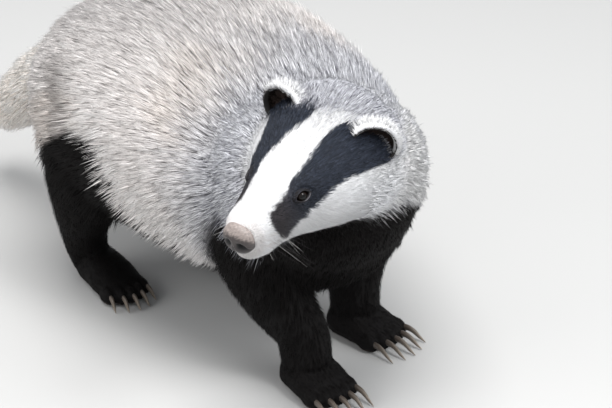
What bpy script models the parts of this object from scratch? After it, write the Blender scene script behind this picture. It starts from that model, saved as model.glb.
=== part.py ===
"""European badger standing with its head turned to its right, life size.

Metres, +Z up, +X towards the chest, +Y towards the animal's left.
"""

import math
import random

import bmesh
import bpy
import numpy as np
from mathutils import Euler, Matrix, Vector

# Driving dimensions
GAP = 0.0003
COAT_SHARE = 0.55
ROOT_SINK = 0.009
EAR_CLEAR = 0.027
FLOOR_CLEAR = 0.004
SEED = 7
HEAD_PLACE = Vector((0.202, -0.0650, 0.2710))
HEAD_TURN = Euler((math.radians(-6), math.radians(6), math.radians(-78)), "XYZ")
EYE_RADIUS = 0.0062
EYE_PLACE = (0.0745, 0.0238, 0.0032)
EYE_OPENING = (0.0064, 0.0048, 0.0047)
EAR_PLACE = (0.000, 0.0480, 0.0240)
EAR_RADII = (0.0125, 0.0208, 0.0200)
EAR_OUTWARD = {"left": math.radians(35), "right": math.radians(5)}
EAR_HOLLOW = (0.0120, 0.0168, 0.0162)
LID = 0.0016
NOSE_PLACE = (0.1272, 0.0, -0.0205)
NOSE_RADII = (0.0115, 0.0160, 0.0148)
NOSTRIL_OFFSET = (0.0085, 0.0070, -0.0030)
NOSTRIL_RADII = (0.0060, 0.0027, 0.0038)
LIP_RADIUS = 0.0022
CHIN_PLACE = (0.1080, 0.0, -0.0385)
CHIN_RADII = (0.0175, 0.0122, 0.0085)
MOUTH_DEPTH = 0.0030
MOUTH_OPENING = 0.0014
FORE_TRACK = {"right": 0.046, "left": 0.056}
HIND_TRACK = 0.064
FORE_FOOT_X = {"right": 0.166, "left": 0.125}
HIND_FOOT_X = {"right": -0.115, "left": -0.060}
NECK_CUT = 0.52
NAPE_CUT = 0.80
TAIL_CUT = 0.68
ANKLE_CUT = 0.80

# Trunk, rump to chest, out to the tips of the coat:
# x, y, z of the line, half width, height above it, depth below it, coat depth
TRUNK = (
    (-0.228, 0.000, 0.190, 0.020, 0.020, 0.022, 0.008),
    (-0.217, 0.000, 0.190, 0.060, 0.050, 0.065, 0.016),
    (-0.195, 0.001, 0.191, 0.098, 0.080, 0.095, 0.022),
    (-0.155, 0.005, 0.192, 0.128, 0.103, 0.112, 0.024),
    (-0.100, 0.012, 0.192, 0.142, 0.117, 0.122, 0.025),
    (-0.030, 0.017, 0.190, 0.146, 0.121, 0.127, 0.025),
    (0.040, 0.012, 0.188, 0.138, 0.108, 0.124, 0.025),
    (0.095, 0.002, 0.188, 0.123, 0.092, 0.118, 0.023),
    (0.135, -0.004, 0.190, 0.104, 0.079, 0.107, 0.020),
    (0.168, -0.010, 0.196, 0.080, 0.064, 0.086, 0.016),
    (0.190, -0.014, 0.200, 0.050, 0.043, 0.056, 0.010),
    (0.200, -0.016, 0.202, 0.018, 0.016, 0.020, 0.004),
)

# Neck, from inside the chest to the back of the skull, with the same columns
NECK = (
    (0.080, 0.016, 0.195, 0.060, 0.050, 0.065, 0.018),
    (0.108, 0.001, 0.206, 0.092, 0.072, 0.098, 0.020),
    (0.140, -0.019, 0.220, 0.101, 0.075, 0.107, 0.018),
    (0.168, -0.038, 0.235, 0.095, 0.070, 0.098, 0.015),
    (0.190, -0.052, 0.247, 0.076, 0.060, 0.081, 0.011),
    (0.202, -0.062, 0.254, 0.053, 0.044, 0.057, 0.006),
    (0.208, -0.073, 0.258, 0.020, 0.018, 0.020, 0.003),
)

# Tail, tip to root, with the same columns
TAIL = (
    (-0.380, 0.003, 0.072, 0.009, 0.008, 0.010, 0.004),
    (-0.360, 0.004, 0.092, 0.024, 0.020, 0.026, 0.013),
    (-0.322, 0.004, 0.127, 0.034, 0.027, 0.034, 0.017),
    (-0.280, 0.003, 0.162, 0.037, 0.029, 0.036, 0.016),
    (-0.235, 0.001, 0.191, 0.036, 0.029, 0.034, 0.013),
    (-0.195, 0.000, 0.200, 0.034, 0.028, 0.032, 0.010),
)

# Head in its own frame, +X to the nose, origin midway between the ears:
# x, z of the line, half width, height above, depth below
SKULL = (
    (-0.052, 0.004, 0.030, 0.026, 0.030),
    (-0.040, 0.003, 0.052, 0.042, 0.050),
    (-0.020, 0.000, 0.062, 0.045, 0.056),
    (0.005, -0.001, 0.061, 0.042, 0.055),
    (0.030, -0.002, 0.0545, 0.037, 0.052),
    (0.052, -0.003, 0.0440, 0.031, 0.0475),
    (0.072, -0.005, 0.0328, 0.0255, 0.0430),
    (0.090, -0.009, 0.0260, 0.0215, 0.0370),
    (0.106, -0.014, 0.0225, 0.0190, 0.0300),
    (0.120, -0.0185, 0.0205, 0.0165, 0.0240),
    (0.131, -0.0215, 0.0130, 0.0115, 0.0150),
)
SKULL_POWER, JAW_POWER = 2.1, 2.7

# Left half of the mouth line in the head's frame, corner to chin
MOUTH = (
    (0.0560, 0.0356, -0.0360),
    (0.0700, 0.0263, -0.0388),
    (0.0880, 0.0193, -0.0394),
    (0.1040, 0.0160, -0.0392),
    (0.1160, 0.0141, -0.0395),
    (0.1235, 0.0098, -0.0394),
    (0.1268, 0.0050, -0.0386),
    (0.1276, 0.0000, -0.0382),
)

# Locks of the coat: length, width, thickness, and how far they drop towards the ground
LOCKS = {
    "back": (0.068, 0.025, 0.0060, 0.10),
    "flank": (0.074, 0.027, 0.0060, 0.22),
    "fringe": (0.066, 0.023, 0.0055, 0.30),
    "nape": (0.046, 0.021, 0.0050, 0.08),
    "tail": (0.070, 0.019, 0.0050, 0.05),
}
LAST_RING = 0.035
HANG = 0.6
LOCK_RINGS = ((0.0, 0.62), (0.38, 1.0), (0.72, 0.78))
TRUNK_RINGS, TRUNK_AROUND = 17, 22
NECK_RINGS, NECK_AROUND = 10, 22
LEG_RINGS, LEG_AROUND = 10, 14

COLOURS = {
    "grizzled": ((0.42, 0.40, 0.38, 1), 0.85),
    "white": ((0.80, 0.79, 0.76, 1), 0.80),
    "black": ((0.020, 0.018, 0.018, 1), 0.75),
    "buff": ((0.62, 0.53, 0.42, 1), 0.85),
    "eye": ((0.006, 0.005, 0.005, 1), 0.05),
    "leather": ((0.050, 0.042, 0.038, 1), 0.45),
}


class Form:
    """Ovals of changing size strung on a smooth line. Their lower halves may be squarer."""

    def __init__(self, rows, reference, power=2.0, low_power=None):
        table = np.array(rows, float)
        self.line, self.sizes = table[:, :3], table[:, 3:]
        steps = np.linalg.norm(np.diff(self.line, axis=0), axis=1)
        self.knots = np.concatenate([[0], np.cumsum(steps)])
        self.length = self.knots[-1]
        self.reference = Vector(reference)
        self.power = power
        self.low_power = low_power or power

    def _smooth(self, table, distance):
        """Value and slope of the cubic through the table's rows."""
        knots = self.knots
        slopes = np.gradient(table, knots, axis=0)
        i = int(np.clip(np.searchsorted(knots, distance) - 1, 0, len(knots) - 2))
        span = knots[i + 1] - knots[i]
        t = (distance - knots[i]) / span
        a, b = table[i], table[i + 1]
        ma, mb = slopes[i] * span, slopes[i + 1] * span
        value = (
            (2 * t**3 - 3 * t**2 + 1) * a
            + (t**3 - 2 * t**2 + t) * ma
            + (3 * t**2 - 2 * t**3) * b
            + (t**3 - t**2) * mb
        )
        slope = (
            (6 * t**2 - 6 * t) * (a - b) + (3 * t**2 - 4 * t + 1) * ma + (3 * t**2 - 2 * t) * mb
        ) / span
        return value, slope

    def frame(self, share):
        """Centre, along, side and up at a share of the line's length."""
        centre, slope = self._smooth(self.line, share * self.length)
        along = Vector(slope).normalized()
        up = (self.reference - self.reference.dot(along) * along).normalized()
        return Vector(centre), along, up.cross(along), up

    def coat(self, share):
        return float(self._smooth(self.sizes, share * self.length)[0][3])

    def point(self, share, angle, lift=0.0):
        """A point of the surface, lifted outwards. Angle 0 is the side, a quarter turn the top."""
        centre, _, side, up = self.frame(share)
        width, top, bottom = self._smooth(self.sizes, share * self.length)[0][:3]
        c, s = math.cos(angle), math.sin(angle)
        power = self.power if s > 0 else self.low_power
        across = math.copysign(abs(c) ** (2 / power), c)
        height = math.copysign(abs(s) ** (2 / power), s)
        tall = top if s > 0 else bottom
        return centre + side * across * (width + lift) + up * height * (tall + lift)

    def inside(self, place, margin=0.0):
        """Whether a place lies within the surface grown by a margin."""
        nearest = min(np.linspace(0, 1, 25), key=lambda t: (self.frame(t)[0] - place).length)
        centre, along, side, up = self.frame(nearest)
        away = place - centre
        if abs(away.dot(along)) > 0.02 + margin:
            return False
        width, top, bottom = self._smooth(self.sizes, nearest * self.length)[0][:3]
        tall = top if away.dot(up) > 0 else bottom
        across = away.dot(side) / max(width + margin, GAP)
        height = away.dot(up) / max(tall + margin, GAP)
        return across**2 + height**2 < 1

    def mesh(self, name, rings, around, inset=0.0, grow=0.0):
        """The closed surface, drawn in by a share of the coat or grown by a gap.

        With no number of rings, there is one ring at each row of the table.
        """
        if rings is None:
            spread = [float(knot / self.length) for knot in self.knots]
        else:
            even = np.linspace(0, 1, rings)
            spread = [0.5 * t + 0.25 * (1 - math.cos(math.pi * t)) for t in even]
        verts, faces = [], []
        for share in spread:
            lift = grow - (inset * self.coat(share) if inset else 0.0)
            for k in range(around):
                verts.append(self.point(share, math.tau * k / around, lift))
        for i in range(len(spread) - 1):
            for k in range(around):
                a, b = i * around + k, i * around + (k + 1) % around
                faces.append((a, b, b + around, a + around))
        for ring, order in ((0, -1), (len(spread) - 1, 1)):
            centre, along, _, _ = self.frame(spread[ring])
            verts.append(centre + along * order * grow)
            hub = len(verts) - 1
            for k in range(around):
                a, b = ring * around + k, ring * around + (k + 1) % around
                faces.append((a, b, hub)[::order])
        return mesh_object(name, verts, faces)


def mesh_object(name, verts, faces):
    mesh = bpy.data.meshes.new(name)
    mesh.from_pydata([tuple(v) for v in verts], [], faces)
    work = bmesh.new()
    work.from_mesh(mesh)
    bmesh.ops.recalc_face_normals(work, faces=work.faces)
    work.to_mesh(mesh)
    work.free()
    obj = bpy.data.objects.new(name, mesh)
    bpy.context.scene.collection.objects.link(obj)
    return obj


def ball(name, place, radii, turn=(0, 0, 0), segments=20, rings=12):
    """An ellipsoid at a place, turned by angles in radians."""
    matrix = Matrix.LocRotScale(Vector(place), Euler(turn), Vector(radii))
    mesh = bpy.data.meshes.new(name)
    work = bmesh.new()
    bmesh.ops.create_uvsphere(work, u_segments=segments, v_segments=rings, radius=1)
    bmesh.ops.transform(work, matrix=matrix, verts=work.verts)
    work.to_mesh(mesh)
    work.free()
    obj = bpy.data.objects.new(name, mesh)
    bpy.context.scene.collection.objects.link(obj)
    return obj


def block(name, low, high):
    mesh = bpy.data.meshes.new(name)
    work = bmesh.new()
    centre = (Vector(low) + Vector(high)) / 2
    size = Vector(high) - Vector(low)
    bmesh.ops.create_cube(work, size=1, matrix=Matrix.LocRotScale(centre, None, size))
    work.to_mesh(mesh)
    work.free()
    obj = bpy.data.objects.new(name, mesh)
    bpy.context.scene.collection.objects.link(obj)
    return obj


def disc(name, place, direction, radius, thickness=GAP, sides=24):
    """A thin round slab across a direction, which parts one node from the next."""
    turn = Vector(direction).to_track_quat("Z", "Y")
    mesh = bpy.data.meshes.new(name)
    work = bmesh.new()
    bmesh.ops.create_cone(
        work,
        cap_ends=True,
        segments=sides,
        radius1=radius,
        radius2=radius,
        depth=thickness,
        matrix=Matrix.LocRotScale(Vector(place), turn, None),
    )
    work.to_mesh(mesh)
    work.free()
    obj = bpy.data.objects.new(name, mesh)
    bpy.context.scene.collection.objects.link(obj)
    return obj


def boolean(obj, others, operation, solver="MANIFOLD"):
    """Joins or cuts obj with closed meshes, which are then removed."""
    pieces = bpy.data.collections.new("pieces")
    bpy.context.scene.collection.children.link(pieces)
    for other in others:
        for owner in list(other.users_collection):
            owner.objects.unlink(other)
        pieces.objects.link(other)
    modifier = obj.modifiers.new("join", "BOOLEAN")
    modifier.operation = operation
    modifier.operand_type = "COLLECTION"
    modifier.collection = pieces
    modifier.solver = solver
    apply_modifiers(obj)
    for other in others:
        bpy.data.objects.remove(other)
    bpy.data.collections.remove(pieces)
    return obj


def apply_modifiers(obj):
    bpy.context.view_layer.update()
    evaluated = obj.evaluated_get(bpy.context.evaluated_depsgraph_get())
    mesh = bpy.data.meshes.new_from_object(evaluated)
    obj.modifiers.clear()
    obj.data = mesh


def islands(work):
    """The closed surfaces of a bmesh, as sets of faces, the largest volume first."""
    left, found = set(work.faces), []
    while left:
        stack, island = [left.pop()], set()
        while stack:
            face = stack.pop()
            island.add(face)
            for edge in face.edges:
                for near in edge.link_faces:
                    if near in left:
                        left.discard(near)
                        stack.append(near)
        found.append(island)

    def volume(island):
        total = 0.0
        for face in island:
            first = face.verts[0].co
            for a, b in zip(face.verts[1:], face.verts[2:]):
                total += first.dot(a.co.cross(b.co))
        return total / 6

    return sorted(found, key=volume, reverse=True)


def keep_largest(obj, name=None, rank=0):
    """Leaves only one closed surface of obj, or copies it out under a new name."""
    work = bmesh.new()
    work.from_mesh(obj.data)
    found = islands(work)
    kept = found[rank]
    bmesh.ops.delete(work, geom=[f for f in work.faces if f not in kept], context="FACES")
    if name:
        obj = mesh_object(name, [], [])
    work.to_mesh(obj.data)
    work.free()
    return obj


def split(obj, cutter, names, direction):
    """Parts obj in two at a thin slab. The part farther along the direction has the first name."""
    boolean(obj, [cutter], "DIFFERENCE")
    parts = [keep_largest(obj, "part", 0), keep_largest(obj, "part", 1)]
    bpy.data.objects.remove(obj)

    def reach(part):
        centre = sum((v.co for v in part.data.vertices), Vector()) / len(part.data.vertices)
        return centre.dot(Vector(direction))

    parts.sort(key=reach, reverse=True)
    for part, name in zip(parts, names):
        part.name = name
    return parts


def lock(form, share, angle, size, rng):
    """A flat, tapered, bending lock rooted in the core, with its tip at the coat's surface."""
    length, width, thickness, drop = LOCKS[size]
    length *= rng.uniform(0.86, 1.14)
    width *= rng.uniform(0.88, 1.12)
    coat = form.coat(share)
    root = -(COAT_SHARE * coat + ROOT_SINK)
    tip = -0.14 * coat * rng.uniform(0.0, 1.0)
    sweep = -drop * math.cos(angle) + rng.uniform(-0.09, 0.09)
    bend = rng.uniform(-0.07, 0.07)

    def path(t):
        """Towards the rear along the form, and straight on past its last ring."""
        lift = root + (tip - root) * (1 - (1 - t) ** 1.7) - 0.15 * coat * t**6
        turn = angle + sweep * t + bend * t * t
        back = share - t * length / form.length
        place = form.point(max(back, LAST_RING), turn, lift)
        if back < LAST_RING:
            beyond = form.frame(LAST_RING)[1] + Vector((0, 0, HANG))
            place -= beyond.normalized() * (LAST_RING - back) * form.length
        return place, turn

    verts, faces = [], []
    for t, taper in LOCK_RINGS:
        place, turn = path(t)
        ahead = (path(t + 0.05)[0] - path(max(t - 0.05, 0.0))[0]).normalized()
        ring = min(max(share - t * length / form.length, LAST_RING), 0.97)
        around = form.point(ring, turn + 0.01) - form.point(ring, turn - 0.01)
        across = (around - ahead * around.dot(ahead)).normalized()
        outward = across.cross(ahead)
        if outward.dot(place - form.frame(ring)[0]) < 0:
            outward.negate()
        half = width * taper / 2
        verts += [place + across * half, place - across * half]
        verts.append(place + outward * thickness * (0.4 + 0.6 * taper))
    verts.append(path(1.0)[0])
    for i in range(len(LOCK_RINGS) - 1):
        for k in range(3):
            a, b = 3 * i + k, 3 * i + (k + 1) % 3
            faces.append((a, b, b + 3, a + 3))
    last = 3 * (len(LOCK_RINGS) - 1)
    faces += [(last + k, last + (k + 1) % 3, last + 3) for k in range(3)]
    faces.append((0, 1, 2))
    return mesh_object("lock", verts, faces)


def rows_of_locks(form, first, last, spacing, across, choose, rng):
    """Staggered rows of locks round a form. The choice of size may be None, for no lock."""
    made = []
    rows = max(int((last - first) * form.length / spacing), 1)
    for i in range(rows + 1):
        share = first + (last - first) * i / rows
        width, top, bottom = form._smooth(form.sizes, share * form.length)[0][:3]
        around = max(int(math.pi * (width + (top + bottom) / 2) / across), 5)
        for k in range(around):
            angle = math.tau * (k + 0.5 * (i % 2) + rng.uniform(-0.15, 0.15)) / around
            shifted = min(max(share + rng.uniform(-0.18, 0.18) * spacing / form.length, 0), 1)
            size = choose(shifted, angle % math.tau, form.point(shifted, angle))
            if size:
                made.append(lock(form, shifted, angle, size, rng))
    return made


def coat_locks(trunk, neck, tail, legs):
    """All the locks of the trunk, neck and tail, clear of the legs, ears and floor."""
    rng = random.Random(SEED)

    def on_trunk(share, angle, place):
        if neck.inside(place, -0.016) or tail.inside(place, -0.004):
            return None
        if share < 0.065:
            return "nape"
        side = abs(math.cos(angle))
        if math.sin(angle) < -0.55:
            return "fringe" if side > 0.35 else None
        return "back" if math.sin(angle) > 0.55 else "flank"

    def on_neck(share, angle, place):
        return None if trunk.inside(place, -0.016) else "nape"

    def on_tail(share, angle, place):
        return None if trunk.inside(place, -0.004) else "tail"

    made = rows_of_locks(trunk, 0.045, 0.97, 0.042, 0.042, on_trunk, rng)
    made += rows_of_locks(neck, 0.16, 0.86, 0.032, 0.036, on_neck, rng)
    made += rows_of_locks(tail, 0.16, 0.88, 0.036, 0.032, on_tail, rng)
    ears = [head_matrix() @ Vector((EAR_PLACE[0], s * EAR_PLACE[1], EAR_PLACE[2])) for s in (1, -1)]
    kept = []
    for one in made:
        points = [v.co for v in one.data.vertices]
        near_ear = any((p - ear_at).length < EAR_CLEAR for p in points for ear_at in ears)
        if near_ear or min(p.z for p in points) < FLOOR_CLEAR:
            bpy.data.objects.remove(one)
            continue
        for form in legs:
            if any(form.inside(p, 0.02) for p in points):
                boolean(one, [form.mesh("leg_shell", LEG_RINGS, LEG_AROUND, grow=GAP * 1.6)], "DIFFERENCE")
        if len(one.data.polygons):
            kept.append(one)
        else:
            bpy.data.objects.remove(one)
    return kept


def head_matrix():
    return Matrix.LocRotScale(HEAD_PLACE, HEAD_TURN, None)


def to_head(obj):
    obj.data.transform(head_matrix())
    return obj


def skull_form():
    rows = [(x, 0.0, z, width, top, bottom) for x, z, width, top, bottom in SKULL]
    return Form(rows, (0, 0, 1), power=SKULL_POWER, low_power=JAW_POWER)


def trunk_form():
    return Form(TRUNK, (0, 0, 1), power=2.15)


def neck_form():
    return Form(NECK, (0, 0, 1), power=2.1)


def tail_form():
    return Form(TAIL, (0, 0, 1))


def foot_matrix(x, y, heading):
    return Matrix.LocRotScale(Vector((x, y, 0)), Euler((0, 0, heading)), None)


def toe(name, matrix, x, y, claw_length, lean):
    """A toe that narrows into its curved claw, which reaches forwards and down to the ground."""
    rows = [
        (x - 0.012, y, 0.0085, 0.0024, 0.0030, 0.0034),
        (x - 0.006, y, 0.0085, 0.0058, 0.0080, 0.0082),
        (x + 0.003, y, 0.0085, 0.0062, 0.0084, 0.0090),
        (x + 0.010, y, 0.0085, 0.0040, 0.0050, 0.0055),
    ]
    for t, size in ((0.0, 0.0024), (0.55, 0.0019), (1.0, 0.0006)):
        z = 0.0085 - 0.0066 * t**2.0
        rows.append((x + 0.012 + claw_length * t, y + lean * t, z, size, size * 1.3, size))
    obj = Form(rows, (0, 0, 1)).mesh(name, None, 6)
    obj.data.transform(matrix)
    return obj


def paw(name, matrix, length, width, claw_length):
    """The foot's pad and its five clawed toes, in one list of closed pieces."""
    half = length / 2
    rows = (
        (-half, 0, 0.010, width * 0.26, 0.010, 0.012),
        (-half * 0.80, 0, 0.011, width * 0.38, 0.018, 0.013),
        (-half * 0.15, 0, 0.012, width * 0.47, 0.022, 0.014),
        (half * 0.45, 0, 0.011, width * 0.50, 0.014, 0.013),
        (half * 0.80, 0, 0.009, width * 0.42, 0.009, 0.011),
        (half * 0.95, 0, 0.008, width * 0.20, 0.004, 0.006),
    )
    pieces = [Form(rows, (0, 0, 1), power=2.3).mesh(name, None, 10)]
    pieces[0].data.transform(matrix)
    for k in range(-2, 3):
        spread = k / 2
        y = spread * width * 0.40
        x = half * (0.96 - 0.22 * spread**2)
        pieces.append(toe(f"toe_{k}", matrix, x, y, claw_length, spread * 0.003))
    return pieces


def foreleg(side):
    """The right or left foreleg from inside the chest to its wrist, and the place of its paw."""
    sign = -1 if side == "right" else 1
    foot = FORE_FOOT_X[side]
    reach = foot - 0.16
    y = sign * FORE_TRACK[side]
    middle = (y + sign * 0.074) / 2
    rows = (
        (0.112 + 0.2 * reach, sign * 0.058, 0.205, 0.030, 0.040, 0.040),
        (0.113 + 0.2 * reach, sign * 0.066, 0.170, 0.040, 0.052, 0.052),
        (0.115 + 0.3 * reach, sign * 0.068, 0.130, 0.038, 0.045, 0.046),
        (0.130 + 0.6 * reach, middle, 0.088, 0.031, 0.033, 0.036),
        (0.146 + 0.9 * reach, y, 0.052, 0.026, 0.026, 0.027),
        (0.150 + 1.0 * reach, y, 0.026, 0.025, 0.025, 0.025),
        (0.151 + 1.0 * reach, y, 0.010, 0.020, 0.020, 0.020),
    )
    form = Form(rows, (1, 0, 0))
    return form, foot_matrix(foot, y, sign * 0.12)


def hindleg(side):
    """The right or left hind leg from inside the haunch to its ankle, and the place of its paw."""
    sign = -1 if side == "right" else 1
    foot = HIND_FOOT_X[side]
    y = sign * HIND_TRACK
    ahead = foot + 0.125
    rows = (
        (-0.135 + 0.3 * ahead, sign * 0.058, 0.210, 0.030, 0.040, 0.042),
        (-0.133 + 0.3 * ahead, sign * 0.068, 0.172, 0.042, 0.056, 0.054),
        (-0.134 + 0.4 * ahead, sign * 0.074, 0.130, 0.040, 0.050, 0.048),
        (-0.145 + 0.7 * ahead, sign * 0.074, 0.090, 0.032, 0.037, 0.034),
        (-0.158 + 0.9 * ahead, sign * 0.068, 0.055, 0.025, 0.028, 0.024),
        (-0.160 + 1.0 * ahead, y, 0.030, 0.022, 0.024, 0.021),
        (-0.156 + 1.0 * ahead, y, 0.012, 0.018, 0.018, 0.016),
    )
    form = Form(rows, (1, 0, 0))
    return form, foot_matrix(foot, y, sign * 0.16)


def leg_nodes(kind, side, trunk, neck):
    """A leg and its paw as two nodes, clear of the trunk and of each other."""
    form, matrix = foreleg(side) if kind == "front" else hindleg(side)
    limb = form.mesh("limb", LEG_RINGS, LEG_AROUND)
    sizes = (0.066, 0.056, 0.022) if kind == "front" else (0.082, 0.050, 0.011)
    boolean(limb, paw("pad", matrix, *sizes), "UNION")
    floor = block("floor", (-1, -1, -0.1), (1, 1, 0))
    shell = trunk.mesh("shell", TRUNK_RINGS, TRUNK_AROUND, inset=COAT_SHARE, grow=GAP * 1.6)
    collar = neck.mesh("collar", NECK_RINGS, NECK_AROUND, inset=COAT_SHARE, grow=GAP * 1.6)
    boolean(limb, [floor, shell, collar], "DIFFERENCE")
    keep_largest(limb)
    ankle = form.frame(ANKLE_CUT)
    cutter = disc("ankle", ankle[0], (0.0, 0.0, 1.0), 0.07)
    return split(limb, cutter, (f"leg_{kind}_{side}", f"paw_{kind}_{side}"), (0, 0, 1))


def eyes():
    made = []
    for side, sign in (("left", 1), ("right", -1)):
        place = (EYE_PLACE[0], sign * EYE_PLACE[1], EYE_PLACE[2])
        made.append(to_head(ball(f"eye_{side}", place, (EYE_RADIUS,) * 3, segments=12, rings=8)))
    return made


def lids():
    """A round lid over each eye, which the eye and its almond opening then hollow."""
    made = []
    for sign in (1, -1):
        place = (EYE_PLACE[0], sign * EYE_PLACE[1], EYE_PLACE[2])
        radius = EYE_RADIUS + LID
        radii = (radius * 1.25, radius, radius)
        made.append(to_head(ball("lid", place, radii, (0, 0, sign * -0.35), 12, 8)))
    return made


def sockets():
    """The hollows that the eyes sit in, and the almond openings between the lids."""
    made = []
    for sign in (1, -1):
        place = Vector((EYE_PLACE[0], sign * EYE_PLACE[1], EYE_PLACE[2]))
        radius = EYE_RADIUS + GAP * 1.6
        made.append(to_head(ball("socket", place, (radius,) * 3, segments=12, rings=8)))
        outer = place + Vector((0.0014, sign * 1.14 * EYE_RADIUS, 0.0010))
        made.append(to_head(ball("opening", outer, EYE_OPENING, (0, 0, sign * -0.35), 12, 8)))
    return made


def mouth_line():
    """The whole mouth line round the muzzle, from the left corner to the right one."""
    left = [Vector(point) for point in MOUTH]
    right = [Vector((p.x, -p.y, p.z)) for p in reversed(left[:-1])]
    return left + right


def mouth_tube(name, line, section):
    """A closed loft along the mouth line. Its section gives pairs of (outwards, upwards)."""
    verts, faces = [], []
    count = len(section)
    for i, point in enumerate(line):
        ahead = line[min(i + 1, len(line) - 1)] - line[max(i - 1, 0)]
        outward = ahead.cross(Vector((0, 0, 1))).normalized() * -1
        ends = 0.4 if i in (0, len(line) - 1) else 1.0
        for out, height in section:
            verts.append(point + outward * out * ends + Vector((0, 0, height * ends)))
    for i in range(len(line) - 1):
        for k in range(count):
            a, b = i * count + k, i * count + (k + 1) % count
            faces.append((a, b, b + count, a + count))
    faces.append(tuple(range(count)))
    faces.append(tuple(range(len(verts) - count, len(verts))))
    return to_head(mesh_object(name, verts, faces))


def lips():
    """A soft roll above and below the mouth line."""
    made = []
    for height, inward in ((LIP_RADIUS * 0.95, 0.0010), (-LIP_RADIUS * 0.95, 0.0016)):
        section = []
        for k in range(5):
            turn = math.tau * k / 5
            out = LIP_RADIUS * math.cos(turn) - inward
            section.append((out, LIP_RADIUS * math.sin(turn) + height))
        made.append(mouth_tube("lip", mouth_line(), section))
    return made


def mouth():
    """The wedge that is cut between the lips."""
    half = MOUTH_OPENING / 2
    section = ((-MOUTH_DEPTH, 0.0), (0.004, half * 1.5), (0.004, -half * 1.5))
    return mouth_tube("mouth", mouth_line(), section)


def nose():
    """The nose pad with its two nostrils."""
    pad = ball("nose", NOSE_PLACE, NOSE_RADII, segments=14, rings=9)
    holes = []
    for sign in (1, -1):
        ahead, aside, above = NOSTRIL_OFFSET
        place = Vector(NOSE_PLACE) + Vector((ahead, sign * aside, above))
        holes.append(ball("nostril", place, NOSTRIL_RADII, (0, 0, sign * 0.5), 8, 6))
    boolean(pad, holes, "DIFFERENCE")
    keep_largest(pad)
    return to_head(pad)


def ear(side, sign):
    """A round cup that opens forwards and outwards."""
    place = Vector((EAR_PLACE[0], sign * EAR_PLACE[1], EAR_PLACE[2]))
    outward = EAR_OUTWARD[side]
    turn = (sign * math.radians(-28), 0, sign * outward)
    cup = ball(f"ear_{side}", place, EAR_RADII, turn, 16, 10)
    ahead = Vector((math.cos(outward), sign * math.sin(outward), 0))
    inner = place + 0.0085 * ahead
    boolean(cup, [ball("hollow", inner, EAR_HOLLOW, turn, 14, 8)], "DIFFERENCE")
    keep_largest(cup)
    return to_head(cup)


def finish_node(obj, slot):
    colour, rough = COLOURS[slot]
    material = bpy.data.materials.get(slot) or bpy.data.materials.new(slot)
    material.use_nodes = True
    shader = material.node_tree.nodes["Principled BSDF"]
    shader.inputs["Base Color"].default_value = colour
    shader.inputs["Roughness"].default_value = rough
    shader.inputs["Metallic"].default_value = 0.0
    obj.data.materials.clear()
    obj.data.materials.append(material)
    obj.data.shade_smooth()
    obj.data.set_sharp_from_angle(angle=math.radians(40))


def recentre():
    """Moves the whole animal so that its box is centred over the origin."""
    points = [v.co for obj in bpy.data.objects for v in obj.data.vertices]
    low = [min(p[k] for p in points) for k in range(2)]
    high = [max(p[k] for p in points) for k in range(2)]
    shift = Vector((-(low[0] + high[0]) / 2, -(low[1] + high[1]) / 2, 0))
    for obj in bpy.data.objects:
        obj.data.transform(Matrix.Translation(shift))
    return shift


def main():
    for old in list(bpy.data.objects):
        bpy.data.objects.remove(old)
    trunk, neck, tail, skull = trunk_form(), neck_form(), tail_form(), skull_form()
    body = trunk.mesh("body", TRUNK_RINGS, TRUNK_AROUND, inset=COAT_SHARE)
    head_core = to_head(skull.mesh("head_core", 16, 26))
    tail_core = tail.mesh("tail_core", 9, 12, inset=COAT_SHARE)
    neck_core = neck.mesh("neck_core", NECK_RINGS, NECK_AROUND, inset=COAT_SHARE)
    leg_forms = [foreleg("right")[0], foreleg("left")[0], hindleg("right")[0], hindleg("left")[0]]
    locks = coat_locks(trunk, neck, tail, leg_forms)
    chin = to_head(ball("chin", CHIN_PLACE, CHIN_RADII, segments=14, rings=8))
    boolean(body, [neck_core, head_core, tail_core, chin] + lids() + lips() + locks, "UNION")
    legs = []
    for kind in ("front", "hind"):
        for side in ("right", "left"):
            legs += leg_nodes(kind, side, trunk, neck)

    centre, along, _, _ = neck.frame(NECK_CUT)
    front, rear = split(body, disc("neck_cut", centre, along, 0.19), ("front", "rear"), along)
    centre, along, _, _ = neck.frame(NAPE_CUT)
    head, nape = split(front, disc("nape_cut", centre, along, 0.14), ("head", "neck"), along)
    centre, along, _, _ = tail.frame(TAIL_CUT)
    torso, tail_node = split(rear, disc("tail_cut", centre, along, 0.07), ("torso", "tail"), along)

    nose_pad, eye_pair = nose(), eyes()
    ears = [ear("left", 1), ear("right", -1)]
    for one in ears:
        clear = to_head(skull.mesh("clear", 16, 26, grow=GAP * 1.6))
        collar = neck.mesh("collar", NECK_RINGS, NECK_AROUND, inset=COAT_SHARE, grow=GAP * 1.6)
        boolean(one, [clear, collar], "DIFFERENCE")
        keep_largest(one)
    seat_radii = [radius + GAP * 1.6 for radius in NOSE_RADII]
    seat = to_head(ball("seat", NOSE_PLACE, seat_radii, segments=14, rings=9))
    boolean(head, sockets() + [seat, mouth()], "DIFFERENCE")
    keep_largest(head)

    for obj in (torso, nape):
        finish_node(obj, "grizzled")
    finish_node(head, "white")
    finish_node(tail_node, "buff")
    finish_node(nose_pad, "leather")
    for obj in legs:
        finish_node(obj, "black")
    for obj in eye_pair:
        finish_node(obj, "eye")
    for obj in ears:
        finish_node(obj, "black")
    recentre()


if __name__ == "__main__":
    main()
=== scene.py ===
"""European badger, life size: one skin, a coat of mesh tufts, eyes, nose, ears, claws and whiskers.

The body's own frame is metres, +X to the chest, +Y to the animal's left, +Z up. Everything is
made in that frame and then moved by SHIFT into the row's frame.
"""

import math

import bmesh
import bpy
import numpy as np
from mathutils import Euler, Matrix, Vector
from mathutils.bvhtree import BVHTree


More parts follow.
